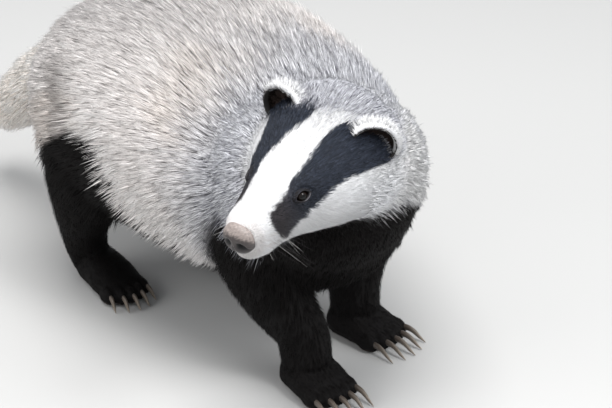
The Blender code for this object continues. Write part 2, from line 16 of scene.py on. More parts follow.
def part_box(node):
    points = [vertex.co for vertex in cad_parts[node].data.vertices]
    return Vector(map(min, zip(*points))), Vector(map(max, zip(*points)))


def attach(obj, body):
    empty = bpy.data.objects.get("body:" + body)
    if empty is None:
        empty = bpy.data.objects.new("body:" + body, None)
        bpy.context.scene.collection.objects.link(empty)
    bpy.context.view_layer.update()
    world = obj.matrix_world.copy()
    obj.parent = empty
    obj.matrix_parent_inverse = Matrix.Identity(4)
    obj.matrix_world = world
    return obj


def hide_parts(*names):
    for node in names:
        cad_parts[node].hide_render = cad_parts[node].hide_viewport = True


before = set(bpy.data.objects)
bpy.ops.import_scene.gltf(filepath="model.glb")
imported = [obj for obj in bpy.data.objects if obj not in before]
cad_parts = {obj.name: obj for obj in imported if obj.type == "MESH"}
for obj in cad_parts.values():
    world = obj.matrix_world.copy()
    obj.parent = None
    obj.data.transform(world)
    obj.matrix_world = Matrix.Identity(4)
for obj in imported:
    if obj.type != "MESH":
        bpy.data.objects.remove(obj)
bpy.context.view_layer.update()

# Driving sizes, the same as in the solids
COAT_SHARE = 0.55
HEAD_PLACE = Vector((0.202, -0.0650, 0.2710))
HEAD_TURN = Euler((math.radians(-6), math.radians(6), math.radians(-78)), "XYZ")
HEAD = Matrix.LocRotScale(HEAD_PLACE, HEAD_TURN, None)
EYE_RADIUS = 0.0062
EYE_PLACE = (0.0745, 0.0238, 0.0032)
EAR_PLACE = (0.000, 0.0480, 0.0240)
EAR_OUTWARD = {1: math.radians(35), -1: math.radians(5)}
NOSE_PLACE = (0.1272, 0.0, -0.0205)
NOSE_RADII = (0.0115, 0.0160, 0.0148)
CHIN_PLACE = (0.1080, 0.0, -0.0385)
CHIN_RADII = (0.0175, 0.0122, 0.0085)
# How far forward and how far out each foot stands
FOOT_PLACES = {
    "front_right": (0.166, 0.046),
    "front_left": (0.125, 0.056),
    "hind_right": (-0.115, 0.064),
    "hind_left": (-0.060, 0.064),
}

# x, y, z of the line, half width, height above, depth below, coat depth
TRUNK = (
    (-0.228, 0.000, 0.190, 0.020, 0.020, 0.022, 0.008),
    (-0.217, 0.000, 0.190, 0.060, 0.050, 0.065, 0.016),
    (-0.195, 0.001, 0.191, 0.098, 0.080, 0.095, 0.022),
    (-0.155, 0.005, 0.192, 0.128, 0.103, 0.112, 0.024),
    (-0.100, 0.012, 0.192, 0.142, 0.117, 0.122, 0.025),
    (-0.030, 0.017, 0.190, 0.146, 0.121, 0.127, 0.025),
    (0.040, 0.012, 0.188, 0.138, 0.108, 0.124, 0.025),
    (0.095, 0.002, 0.188, 0.123, 0.092, 0.118, 0.023),
    (0.135, -0.004, 0.190, 0.104, 0.079, 0.107, 0.020),
    (0.168, -0.010, 0.196, 0.080, 0.064, 0.086, 0.016),
    (0.190, -0.014, 0.200, 0.050, 0.043, 0.056, 0.010),
    (0.200, -0.016, 0.202, 0.018, 0.016, 0.020, 0.004),
)
NECK = (
    (0.080, 0.016, 0.195, 0.060, 0.050, 0.065, 0.018),
    (0.108, 0.001, 0.206, 0.092, 0.072, 0.098, 0.020),
    (0.140, -0.019, 0.220, 0.101, 0.075, 0.107, 0.018),
    (0.168, -0.038, 0.235, 0.095, 0.070, 0.098, 0.015),
    (0.190, -0.052, 0.247, 0.076, 0.060, 0.081, 0.011),
    (0.202, -0.062, 0.254, 0.053, 0.044, 0.057, 0.006),
    (0.208, -0.073, 0.258, 0.020, 0.018, 0.020, 0.003),
)
TAIL = (
    (-0.380, 0.003, 0.072, 0.009, 0.008, 0.010, 0.004),
    (-0.360, 0.004, 0.092, 0.024, 0.020, 0.026, 0.013),
    (-0.322, 0.004, 0.127, 0.034, 0.027, 0.034, 0.017),
    (-0.280, 0.003, 0.162, 0.037, 0.029, 0.036, 0.016),
    (-0.235, 0.001, 0.191, 0.036, 0.029, 0.034, 0.013),
    (-0.195, 0.000, 0.200, 0.034, 0.028, 0.032, 0.010),
)
# x, z of the line, half width, height above, depth below, in the head's frame
SKULL = (
    (-0.052, 0.004, 0.030, 0.026, 0.030),
    (-0.040, 0.003, 0.052, 0.042, 0.050),
    (-0.020, 0.000, 0.062, 0.045, 0.056),
    (0.005, -0.001, 0.061, 0.042, 0.055),
    (0.030, -0.002, 0.0545, 0.037, 0.052),
    (0.052, -0.003, 0.0440, 0.031, 0.0475),
    (0.072, -0.005, 0.0328, 0.0255, 0.0430),
    (0.090, -0.009, 0.0260, 0.0215, 0.0370),
    (0.106, -0.014, 0.0225, 0.0190, 0.0300),
    (0.120, -0.0185, 0.0205, 0.0165, 0.0240),
    (0.131, -0.0215, 0.0130, 0.0115, 0.0150),
)
# Left half of the mouth line in the head's frame, corner to chin
MOUTH = (
    (0.0560, 0.0356, -0.0360),
    (0.0700, 0.0263, -0.0388),
    (0.0880, 0.0193, -0.0394),
    (0.1040, 0.0160, -0.0392),
    (0.1160, 0.0141, -0.0395),
    (0.1235, 0.0098, -0.0394),
    (0.1268, 0.0050, -0.0386),
    (0.1276, 0.0000, -0.0382),
)

SKIN_CELL = 0.0021
# Places that are located on a form at a time
BATCH = 40000
# Shares of a bent tuft's length at which its rings and tip stand
BENT = (0.0, 0.55, 1.0)
TUFT_THICKNESS = 0.5
# Most triangles in a piece of the coat
PIECE_TRIANGLES = 190000
# A lock's cell picks its row of the table of noise by these
HASH_STEPS = np.array([73856093, 19349663, 83492791])
HASH_SIZE = 100003
UNWRAP = "OFBake"
# Size of a tuft's patch of the unwrap
TUFT_PATCH = np.array([0.0012, 0.0026])
# The lids lie on a ball of this radius, and everything of an eye is within the second one
LID_BALL = 0.0076
EYE_AREA = 0.014
TOES = range(-2, 3)
# Places further than this from the head's own origin aren't on the head
HEAD_REACH = 0.16
# Start value where the least of several distances is sought
FAR = 1e9


def unit(v):
    return v / np.maximum(np.linalg.norm(v, axis=-1, keepdims=True), 1e-12)


def smoothstep(low, high, x):
    t = np.clip((x - low) / (high - low), 0, 1)
    return t * t * (3 - 2 * t)


def bell(x, width):
    """A smooth hump, 1 where x is 0."""
    return np.exp(-((x / width) ** 2))


def mix(a, b, t):
    """Blend of two colours or columns by a column of weights."""
    t = np.asarray(t)
    if t.ndim == 1:
        t = t[:, None]
    return np.asarray(a) * (1 - t) + np.asarray(b) * t


def wave(points, scale, seed):
    """Soft noise, mostly between -1 and 1, from seven crossing waves."""
    rng = np.random.default_rng(seed)
    total = np.zeros(len(points))
    for _ in range(7):
        direction = rng.normal(size=3)
        direction /= np.linalg.norm(direction)
        pace, start = rng.uniform(0.6, 1.7), rng.uniform(0, math.tau)
        total += np.sin(points @ direction * scale * pace + start)
    return total / 3.6


def sided(place, sign):
    """A place or direction of the left side, or its image on the right."""
    return np.array([place[0], sign * place[1], place[2]])


def tube_faces(rings, around):
    """Faces of a tube of rings that a flat face closes at each end."""
    faces = []
    for i in range(rings - 1):
        for k in range(around):
            a, b = i * around + k, i * around + (k + 1) % around
            faces.append((a, b, b + around, a + around))
    faces.append(tuple(range(around))[::-1])
    faces.append(tuple(range((rings - 1) * around, rings * around)))
    return faces


class Form:
    """Ovals of changing size strung on a smooth line, for arrays of places."""

    def __init__(self, rows, reference, power=2.0, low_power=None):
        table = np.array(rows, float)
        self.line, self.sizes = table[:, :3], table[:, 3:]
        steps = np.linalg.norm(np.diff(self.line, axis=0), axis=1)
        self.knots = np.concatenate([[0], np.cumsum(steps)])
        self.length = self.knots[-1]
        self.reference = np.array(reference, float)
        self.power = power
        self.low_power = low_power or power
        self.line_slopes = np.gradient(self.line, self.knots, axis=0)
        self.size_slopes = np.gradient(self.sizes, self.knots, axis=0)

    def _smooth(self, table, slopes, share):
        distance = np.asarray(share, float) * self.length
        i = np.clip(np.searchsorted(self.knots, distance) - 1, 0, len(self.knots) - 2)
        span = (self.knots[i + 1] - self.knots[i])[:, None]
        t = (distance - self.knots[i])[:, None] / span
        a, b = table[i], table[i + 1]
        ma, mb = slopes[i] * span, slopes[i + 1] * span
        value = (
            (2 * t**3 - 3 * t**2 + 1) * a
            + (t**3 - 2 * t**2 + t) * ma
            + (3 * t**2 - 2 * t**3) * b
            + (t**3 - t**2) * mb
        )
        slope = (
            (6 * t**2 - 6 * t) * (a - b) + (3 * t**2 - 4 * t + 1) * ma + (3 * t**2 - 2 * t) * mb
        ) / span
        return value, slope

    def frame(self, share):
        centre, slope = self._smooth(self.line, self.line_slopes, share)
        along = unit(slope)
        up = unit(self.reference - (along @ self.reference)[:, None] * along)
        return centre, along, np.cross(up, along), up

    def size(self, share):
        return self._smooth(self.sizes, self.size_slopes, share)[0]

    def point(self, share, angle, lift=0.0):
        centre, _, side, up = self.frame(share)
        size = self.size(share)
        c, s = np.cos(angle), np.sin(angle)
        power = np.where(s > 0, self.power, self.low_power)
        across = np.sign(c) * np.abs(c) ** (2 / power)
        height = np.sign(s) * np.abs(s) ** (2 / power)
        tall = np.where(s > 0, size[:, 1], size[:, 2])
        width = size[:, 0]
        return (
            centre
            + side * (across * (width + lift))[:, None]
            + up * (height * (tall + lift))[:, None]
        )

    def locate(self, places):
        """Share, angle and level of places. The level is 0 on the surface and -1 on the line."""
        shares = np.linspace(0, 1, 90)
        centres = self._smooth(self.line, self.line_slopes, shares)[0]
        out = [np.zeros(0)] * 3
        for first in range(0, len(places), BATCH):
            part = places[first : first + BATCH]
            near = ((part[:, None, :] - centres[None]) ** 2).sum(-1).argmin(1)
            share = shares[near]
            for _ in range(2):
                centre, along, side, up = self.frame(share)
                share = np.clip(share + ((part - centre) * along).sum(-1) / self.length, 0, 1)
            centre, along, side, up = self.frame(share)
            away = part - centre
            a, h = (away * side).sum(-1), (away * up).sum(-1)
            size = self.size(share)
            tall = np.where(h > 0, size[:, 1], size[:, 2])
            power = np.where(h > 0, self.power, self.low_power)
            wide, high = np.abs(a / size[:, 0]), np.abs(h / tall)
            level = (wide**power + high**power) ** (1 / power) - 1
            past = np.abs((away * along).sum(-1))
            level = level + past / np.maximum(size[:, 0], 0.01)
            angle = np.arctan2(np.sign(h) * high ** (power / 2), np.sign(a) * wide ** (power / 2))
            out = [np.concatenate([o, n]) for o, n in zip(out, (share, angle, level))]
        return out

    def mesh_data(self, rings, around, inset=0.0, drop=0.0):
        """Points and faces of the closed surface, drawn in by a share of the coat and a length."""
        even = np.linspace(0, 1, rings)
        spread = 0.5 * even + 0.25 * (1 - np.cos(math.pi * even))
        share = np.repeat(spread, around)
        angle = np.tile(np.arange(around) * math.tau / around, rings)
        lift = -drop - inset * self.size(share)[:, 3] if inset else -drop
        return self.point(share, angle, lift), tube_faces(rings, around)


SKULL_FORM = Form([(x, 0.0, z, w, t, b) for x, z, w, t, b in SKULL], (0, 0, 1), 2.1, 2.7)
TRUNK_FORM = Form(TRUNK, (0, 0, 1), 2.15)
NECK_FORM = Form(NECK, (0, 0, 1), 2.1)
TAIL_FORM = Form(TAIL, (0, 0, 1))


def place_of(matrix, points):
    m = np.array(matrix)
    return np.asarray(points) @ m[:3, :3].T + m[:3, 3]


def turn_of(matrix, directions):
    return np.asarray(directions) @ np.array(matrix)[:3, :3].T


HEAD_BACK = HEAD.inverted()
low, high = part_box("eye_left")
eye_centre = (Vector(low) + Vector(high)) / 2
SHIFT = eye_centre - HEAD @ Vector(EYE_PLACE)


# Lines of the legs from top to ankle: x and the share of the foot's reach that is added to it,
# distance out and the share of the foot's own that takes its place, z, half width, size ahead and
# size behind
LEG_LINES = {
    "front": (
        (0.112, 0.2, 0.058, 0.0, 0.205, 0.030, 0.040, 0.040),
        (0.113, 0.2, 0.066, 0.0, 0.170, 0.040, 0.052, 0.052),
        (0.115, 0.3, 0.068, 0.0, 0.130, 0.038, 0.045, 0.046),
        (0.130, 0.6, 0.074, 0.5, 0.088, 0.031, 0.033, 0.036),
        (0.146, 0.9, 0.000, 1.0, 0.052, 0.026, 0.026, 0.027),
        (0.150, 1.0, 0.000, 1.0, 0.026, 0.025, 0.025, 0.025),
        (0.151, 1.0, 0.000, 1.0, 0.010, 0.020, 0.020, 0.020),
    ),
    "hind": (
        (-0.135, 0.3, 0.058, 0.0, 0.210, 0.030, 0.040, 0.042),
        (-0.133, 0.3, 0.068, 0.0, 0.172, 0.042, 0.056, 0.054),
        (-0.134, 0.4, 0.074, 0.0, 0.130, 0.040, 0.050, 0.048),
        (-0.145, 0.7, 0.074, 0.0, 0.090, 0.032, 0.037, 0.034),
        (-0.158, 0.9, 0.068, 0.0, 0.055, 0.025, 0.028, 0.024),
        (-0.160, 1.0, 0.000, 1.0, 0.030, 0.022, 0.024, 0.021),
        (-0.156, 1.0, 0.000, 1.0, 0.012, 0.018, 0.018, 0.016),
    ),
}
# Where the foot stands without reach, how far it turns out, and length, width and claw of its paw
PAWS = {
    "front": (0.160, 0.12, (0.066, 0.056, 0.022)),
    "hind": (-0.125, 0.16, (0.082, 0.050, 0.011)),
}
FEET = {}
for foot, (foot_x, track) in FOOT_PLACES.items():
    kind, side = foot.split("_")
    sign = -1 if side == "right" else 1
    home, outward, paw = PAWS[kind]
    rows = [
        (x + reach * (foot_x - home), sign * (y * (1 - own) + track * own), *rest)
        for x, reach, y, own, *rest in LEG_LINES[kind]
    ]
    stand = Vector((foot_x, sign * track, 0)), Euler((0, 0, sign * outward))
    FEET[foot] = (Form(rows, (1, 0, 0)), Matrix.LocRotScale(*stand, None), paw)


def pad_form(length, width):
    half = length / 2
    rows = (
        (-half, 0, 0.010, width * 0.26, 0.010, 0.012),
        (-half * 0.80, 0, 0.011, width * 0.38, 0.018, 0.013),
        (-half * 0.15, 0, 0.012, width * 0.47, 0.022, 0.014),
        (half * 0.45, 0, 0.011, width * 0.50, 0.014, 0.013),
        (half * 0.80, 0, 0.009, width * 0.42, 0.009, 0.011),
        (half * 0.95, 0, 0.008, width * 0.20, 0.004, 0.006),
    )
    return Form(rows, (0, 0, 1), 2.3)


def toe_place(length, width, k):
    spread = k / 2
    return length / 2 * (0.96 - 0.22 * spread**2), spread * width * 0.40, spread * 0.003


# Small helpers that make objects


def link(name, data):
    obj = bpy.data.objects.new(name, data)
    bpy.context.scene.collection.objects.link(obj)
    return obj


def new_object(name, verts, faces, smooth=True):
    mesh = bpy.data.meshes.new(name)
    mesh.from_pydata([tuple(v) for v in verts], [], [tuple(f) for f in faces])
    mesh.validate()
    if smooth:
        mesh.shade_smooth()
    return link(name, mesh)


def new_ball(name, make, **values):
    """An object whose mesh is one of the ready-made spheres."""
    work = bmesh.new()
    make(work, **values)
    mesh = bpy.data.meshes.new(name)
    work.to_mesh(mesh)
    work.free()
    mesh.shade_smooth()
    return link(name, mesh)


def read(items, key, width=1, kind=np.int32):
    """What all vertices, edges, loops or faces of a mesh say under a key."""
    flat = np.empty(len(items) * width, kind)
    items.foreach_get(key, flat)
    flat = flat.astype(np.int64 if kind is np.int32 else float)
    return flat.reshape(-1, width) if width > 1 else flat


def coordinates(mesh):
    return read(mesh.vertices, "co", 3, np.float32)


def normals(mesh):
    return read(mesh.vertices, "normal", 3, np.float32)


def set_coordinates(mesh, points):
    mesh.vertices.foreach_set("co", np.asarray(points, np.float32).ravel())
    mesh.update()


def set_colours(mesh, colours):
    layer = mesh.color_attributes.new("Col", "FLOAT_COLOR", "POINT")
    rgba = np.ones((len(mesh.vertices), 4), np.float32)
    rgba[:, :3] = np.clip(colours, 0, 1)
    layer.data.foreach_set("color", rgba.ravel())


def finished(obj, colours, material):
    """Colours an object, gives it its material and moves it into the row's frame."""
    set_colours(obj.data, colours)
    obj.data.materials.append(material)
    obj.data.transform(Matrix.Translation(SHIFT))
    return obj


def closed_tube(centres, radii, sides, squash=1.0):
    """Points and faces of a closed tapering tube along a line of centres."""
    centres = np.array(centres, float)
    ahead = unit(np.gradient(centres, axis=0))
    seed = np.array([0.0, 0.0, 1.0])
    if abs(ahead[0] @ seed) > 0.9:
        seed = np.array([0.0, 1.0, 0.0])
    verts = []
    for centre, along, radius in zip(centres, ahead, radii):
        side = unit(np.cross(seed, along))
        up = np.cross(along, side)
        for turn in (math.tau * k / sides for k in range(sides)):
            away = side * math.cos(turn) * squash + up * math.sin(turn)
            verts.append(centre + radius * away)
    return np.array(verts), tube_faces(len(centres), sides)


class Pile:
    """Points, faces and colours of many small bodies, gathered for one mesh."""

    def __init__(self):
        self.verts, self.faces, self.colours = [], [], []

    def add(self, points, polygons, colours=()):
        start = len(self.verts)
        self.verts.extend(points)
        self.faces.extend([tuple(i + start for i in polygon) for polygon in polygons])
        self.colours.extend(colours)


# The markings


WHITE = np.array([0.80, 0.80, 0.81])
# Black of the stripes, its own dark colour with a blue cast that is a painted bluish sheen
BLACK = np.array([0.0175, 0.0210, 0.0300])
# Brown-black of belly, chest and legs: partly their own colour, partly painted shade, as it is
# darkened towards the chest's tone in the shade under the head
BROWN_BLACK = np.array([0.0042, 0.0036, 0.0036])

# Edges of the dark stripe through each eye, in the head's frame. Inner edges are measured from
# the middle of the crown, and outer edges by their height on the side of the head.
INNER_X = (-0.0100, 0.0050, 0.0125, 0.0265, 0.0450, 0.0670, 0.0855, 0.1075, 0.1120, 0.1155, 0.1185)
INNER_LEFT = (
    0.0330, 0.0258, 0.0185, 0.0130, 0.0150, 0.0160, 0.0162, 0.0141, 0.0160, 0.0210, 0.0320,
)
INNER_RIGHT = (
    0.0180, 0.0090, 0.0078, 0.0090, 0.0150, 0.0180, 0.0166, 0.0130, 0.0150, 0.0200, 0.0300,
)
OUTER_X = (
    -0.0500, -0.0080, 0.0092, 0.0281, 0.0416, 0.0553, 0.0656, 0.0771, 0.0870, 0.0915, 0.0935,
    0.0990, 0.1050, 0.1097, 0.1136, 0.1180,
)
OUTER_LEFT = (
    0.0070, 0.0089, 0.0092, 0.0101, 0.0100, 0.0051, -0.0047, -0.0131, -0.0165, -0.0240, -0.0320,
    -0.0290, -0.0215, -0.0150, -0.0060, 0.0000,
)
OUTER_RIGHT = (
    0.0090, 0.0120, 0.0160, 0.0190, 0.0175, 0.0110, 0.0020, -0.0040, -0.0090, -0.0150, -0.0240,
    -0.0260, -0.0200, -0.0140, -0.0060, 0.0000,
)


def head_marks(points):
    """Colour of the head's hair at places in the head's frame, and how dark or grizzled it is."""
    x, y, z = points.T
    ragged = 0.0010 * wave(points, 700, 3) + 0.0007 * wave(points, 1700, 4)
    left = y > 0
    inner = np.where(left, np.interp(x, INNER_X, INNER_LEFT), np.interp(x, INNER_X, INNER_RIGHT))
    lower = np.where(left, np.interp(x, OUTER_X, OUTER_LEFT), np.interp(x, OUTER_X, OUTER_RIGHT))
    soft = 0.0013
    black = smoothstep(-soft, soft, np.abs(y) - inner + ragged)
    black *= smoothstep(-soft, soft, z - lower + ragged)
    black *= smoothstep(0.1180, 0.1150, x + ragged)
    end = np.where(left, x, x - 0.009)
    black *= smoothstep(-0.015, 0.004, end + ragged * 5)
    # The ears stand in dark hair
    from_ear = np.linalg.norm(np.stack([x, np.abs(y), z], -1) - np.array(EAR_PLACE), axis=1)
    cup = smoothstep(0.0210, 0.0165, from_ear) * smoothstep(-0.010, -0.004, x)
    black = np.maximum(black, cup)
    width = np.interp(x, [row[0] for row in SKULL], [row[2] for row in SKULL])
    under = smoothstep(0.80, 0.66, np.abs(y) / width + 20 * ragged) * smoothstep(-0.028, -0.036, z)
    under *= smoothstep(0.088, 0.070, x)
    base = WHITE
    # The cheek cools a little towards the neck, and the muzzle has brown-pink on its sides
    side = smoothstep(0.010, -0.010, z)
    base = mix(base, (0.79, 0.80, 0.84), 0.35 * smoothstep(0.07, 0.0, x) * side)
    base = mix(base, (0.72, 0.68, 0.64), 0.35 * smoothstep(0.0, -0.045, x) * side)
    pad = ((x - 0.112) / 0.008) ** 2 + ((np.abs(y) - 0.019) / 0.007) ** 2
    pad = np.exp(-(pad + ((z + 0.022) / 0.009) ** 2))
    spots = smoothstep(0.15, 0.55, wave(points, 1500, 8))
    base = mix(base, (0.46, 0.36, 0.33), np.clip(pad * spots, 0, 1) * 0.55)
    base = mix(base, (0.56, 0.50, 0.47), 0.35 * smoothstep(0.1190, 0.1240, x))
    # The crown turns grey behind the ears, and the far side of the head a little sooner
    crown_y, crown_x = (-0.010, -0.006, 0.001, 0.012, 0.035), (0.022, 0.012, 0.006, 0.001, -0.002)
    crown = np.interp(y, crown_y, crown_x)
    nape = smoothstep(0.005, -0.004, x - crown + ragged * 4) * smoothstep(0.004, 0.016, z)
    far = smoothstep(0.003, -0.006, y) * smoothstep(0.020, -0.006, x + ragged * 4)
    nape = np.maximum(nape, far * smoothstep(-0.035, -0.018, z)) * (1 - cup)
    base = mix(base, (0.36, 0.36, 0.41), nape)
    # The stripe is browner in front of the eye
    stripe = mix(BLACK, (0.0215, 0.0190, 0.0210), smoothstep(0.070, 0.105, x))
    colour = mix(base, stripe, black)
    colour = mix(colour, BROWN_BLACK * 1.2, under)
    return colour, np.maximum(black, under), nape * (1 - black)


def mouth_distance(points):
    """Distance of places in the head's frame from the mouth line."""
    left = np.array(MOUTH)
    line = np.concatenate([left, (left * (1, -1, 1))[::-1][1:]])
    best = np.full(len(points), FAR)
    for a, b in zip(line[:-1], line[1:]):
        t = np.clip(((points - a) @ (b - a)) / ((b - a) @ (b - a)), 0, 1)
        best = np.minimum(best, np.linalg.norm(points - a - t[:, None] * (b - a), axis=1))
    return best


# Height of the pale coat's lower edge along the right side
EDGE_X = (
    -0.230, -0.160, -0.135, -0.103, -0.075, -0.052, -0.036, -0.022, -0.005,
    0.024, 0.059, 0.078, 0.096, 0.112, 0.128, 0.145, 0.170, 0.200,
)
EDGE_Z = (
    0.140, 0.155, 0.172, 0.195, 0.206, 0.205, 0.192, 0.166, 0.144,
    0.134, 0.120, 0.106, 0.094, 0.114, 0.134, 0.160, 0.185, 0.200,
)


def dark_edge(points):
    """How far a place is above the black of the belly, legs and chest."""
    x, y, z = points.T
    # On the left the hip stands further forward and the shoulder further back
    left = np.interp(x, (-0.30, 0.045, 0.080, 0.20), (-0.35, -0.005, 0.090, 0.21))
    along = x + (left - x) * smoothstep(-0.02, 0.02, y)
    ragged = 0.004 * wave(points, 150, 41) + 0.002 * wave(points, 420, 42)
    return z + ragged - np.interp(along, EDGE_X, EDGE_Z)


def ruff_weight(points):
    """Pale hair of the neck behind the near cheek, and the black throat under the head."""
    x, y, z = place_of(HEAD_BACK, points).T
    ragged = 0.003 * wave(points, 160, 43)
    edge_x = (-0.110, -0.068, -0.038, -0.007, 0.020)
    edge = np.interp(x, edge_x, (-0.090, -0.075, -0.056, -0.049, -0.049))
    above = z + ragged - edge
    near = smoothstep(0.105, 0.140, points[:, 0] + 0.4 * np.maximum(points[:, 1], 0) + ragged)
    pale = smoothstep(-0.005, 0.005, above) * smoothstep(0.002, -0.014, z + ragged) * near
    pale *= smoothstep(-0.110, -0.080, x) * smoothstep(-0.012, 0.012, y)
    dark = smoothstep(0.003, -0.005, above) * smoothstep(-0.135, -0.095, x) * near
    return pale, dark * smoothstep(-0.108, -0.094, points[:, 1] + ragged)


def blend(colours, others, where, weights=(1, 1, 1)):
    """Under, band and tip colours, each drawn by its own weight towards another one."""
    return [mix(a, b, weight * where) for a, b, weight in zip(colours, others, weights)]


def body_tone(points):
    """Under, band and tip colours of the long coat at places in the body's own frame."""
    x, y, z = points.T
    patchy = 0.5 * wave(points, 38, 21) + 0.5 * wave(points, 120, 22)
    # Rump and flank are a pale warm grey, shoulder and nape a cooler and darker one
    front = smoothstep(0.010, 0.115, x + 0.018 * patchy + 0.25 * (z - 0.19))
    rear_coat = (0.82, 0.775, 0.76), (0.68, 0.64, 0.62), (0.90, 0.865, 0.85)
    front_coat = (0.40, 0.40, 0.45), (0.140, 0.145, 0.178), (0.87, 0.88, 0.915)
    coat = blend(rear_coat, front_coat, front)
    warm = smoothstep(0.1, 0.7, wave(points, 52, 24)) * (1 - front)
    warm_coat = (0.74, 0.66, 0.61), (0.55, 0.46, 0.40), (0.88, 0.80, 0.73)
    coat = blend(coat, warm_coat, warm, (0.45, 0.55, 0.50))
    # The back is greyer than the flank
    spine = smoothstep(0.13, 0.02, np.abs(y)) * smoothstep(0.20, 0.27, z)
    coat[1] = mix(coat[1], (0.170, 0.165, 0.180), 0.75 * spine)
    # A darker line where the thigh meets the rump
    line_x = np.interp(z, (0.15, 0.19, 0.215, 0.24), (-0.085, -0.096, -0.095, -0.118))
    streak = bell(x - line_x + 0.006 * patchy, 0.019) * smoothstep(0.262, 0.235, z)
    behind = smoothstep(-0.118, -0.150, x) * smoothstep(0.24, 0.19, z)
    streak = np.clip(streak + 0.35 * behind, 0, 1)
    dark_coat = (0.29, 0.26, 0.25), (0.14, 0.125, 0.12), (0.40, 0.375, 0.36)
    coat = blend(coat, dark_coat, 0.85 * streak)
    # A pale fringe along the lower edge of the flank
    above = dark_edge(points)
    fringe = smoothstep(0.050, 0.012, above) * smoothstep(0.13, 0.09, x)
    fringe *= smoothstep(-0.12, -0.05, x)
    coat[1] = mix(coat[1], (0.74, 0.71, 0.70), 0.6 * fringe)
    coat[2] = mix(coat[2], (0.92, 0.90, 0.89), 0.8 * fringe)
    pale, throat = ruff_weight(points)
    pale_coat = (0.55, 0.54, 0.54), (0.42, 0.42, 0.43), (0.92, 0.92, 0.92)
    coat = blend(coat, pale_coat, 0.95 * pale)
    dark = np.maximum(smoothstep(0.004, -0.006, above) * (1 - pale), throat)
    # The black of the belly, chest and throat, whose tips are painted lighter, a painted sheen
    return blend(coat, [BROWN_BLACK * k for k in (1.2, 1.0, 2.2)], dark)


def tail_tone(points):
    under = np.array([0.92, 0.84, 0.77]) * (1 + 0.08 * wave(points, 90, 33))[:, None]
    return under, np.array([0.90, 0.81, 0.74]), np.array([1.00, 0.97, 0.93])


def leg_tone(_):
    # Black-brown leg hair whose tips are painted lighter, a painted sheen
    return [BROWN_BLACK * k for k in (1.1, 1.1, 2.4)]


def head_tone(points):
    colour, dark, nape = head_marks(place_of(HEAD_BACK, points))
    # On dark hair the under colour is darker and the tip painted up to three times lighter, a
    # painted sheen on the black; the grizzled nape has pale tips of its own
    under = colour * (0.93 - 0.33 * dark)[:, None]
    band = mix(colour, (0.11, 0.11, 0.135), 0.85 * nape)
    tip = mix(colour * (1.04 + 2.0 * dark)[:, None], (0.90, 0.91, 0.95), 0.80 * nape)
    return under, band, tip


def coat_tone(points, weight):
    """The three colours of a hair, blended where head, tail and legs pass into the body."""
    total = [np.zeros((len(points), 3)) for _ in range(3)]
    for index, tone in enumerate((body_tone, head_tone, tail_tone, leg_tone)):
        chosen = weight[:, index] > 0.01
        if chosen.any():
            for out, colour in zip(total, tone(points[chosen])):
                out[chosen] += colour * weight[chosen, index, None]
    return total


# The skin


ATLAS = {
    "trunk": (0.01, 0.01, 0.58, 0.48),
    "neck": (0.61, 0.01, 0.38, 0.30),
    "tail": (0.61, 0.33, 0.38, 0.15),
    "skull": (0.01, 0.51, 0.58, 0.48),
    "front_right": (0.61, 0.50, 0.18, 0.23),
    "front_left": (0.81, 0.50, 0.18, 0.23),
    "hind_right": (0.61, 0.75, 0.18, 0.23),
    "hind_left": (0.81, 0.75, 0.18, 0.23),
}
REGIONS = list(ATLAS)
REGION_FORMS = {"trunk": TRUNK_FORM, "neck": NECK_FORM, "tail": TAIL_FORM}
REGION_FORMS.update({foot: form for foot, (form, _, _) in FEET.items()})
# Body, head, tail and legs, by region. The neck is a group of its own where creases are filled.
GROUP_OF_REGION = np.array([0, 4, 2, 1, 3, 3, 3, 3])


def atlas(region, share, angle):
    """Place on the unwrap: each form is cut along its underside and laid flat."""
    u0, v0, width, height = ATLAS[region]
    turn = ((np.asarray(angle) + math.pi / 2) / math.tau) % 1.0
    return np.stack([u0 + width * np.asarray(share), v0 + height * turn], -1)


def regions_of(points):
    """Index of the region that each place lies nearest to, with its share and angle there."""
    best = np.full(len(points), FAR)
    region = np.zeros(len(points), int)
    share_of, angle_of = np.zeros(len(points)), np.zeros(len(points))

    def offer(name, share, angle, gap):
        better = gap < best
        best[better] = gap[better]
        region[better] = REGIONS.index(name)
        share_of[better] = share[better]
        angle_of[better] = angle[better]

    for name, form in REGION_FORMS.items():
        share, angle, level = form.locate(points)
        size = form.size(share)
        reach = (size[:, 0] + size[:, 1]) / 2
        inset = COAT_SHARE * size[:, 3] if size.shape[1] > 3 else 0.002
        offer(name, share, angle, np.abs(level * reach + inset))
        if name in FEET:
            # Low places near a foot's origin are its paw
            local = place_of(FEET[name][1].inverted(), points)
            gap = np.where(local[:, 2] < 0.034, np.linalg.norm(local, axis=1) - 0.075, FAR)
            share = np.clip(1.0 - local[:, 2] / 0.2, 0, 1)
            offer(name, share, angle, np.maximum(gap, 0) + 0.0005)
    share, angle, level = SKULL_FORM.locate(place_of(HEAD_BACK, points))
    size = SKULL_FORM.size(share)
    offer("skull", share, angle, np.abs(level * (size[:, 0] + size[:, 1]) / 2))
    return region, share_of, angle_of


def blur(values, edges, rounds, weight=None):
    """Evens out values over the mesh, by each vertex's neighbours."""
    values = np.asarray(values, float)
    flat = values.reshape(len(values), -1).copy()
    a, b = edges.T
    count = len(flat)
    degree = np.maximum(np.bincount(a, minlength=count) + np.bincount(b, minlength=count), 1)
    pull = 0.6 if weight is None else 0.6 * weight[:, None]
    for _ in range(rounds):
        mean = np.empty_like(flat)
        for k in range(flat.shape[1]):
            both = np.bincount(a, flat[b, k], count) + np.bincount(b, flat[a, k], count)
            mean[:, k] = both / degree
        flat += (mean - flat) * pull
    return flat.reshape(values.shape)


def mesh_edges(mesh):
    return read(mesh.edges, "vertices", 2)


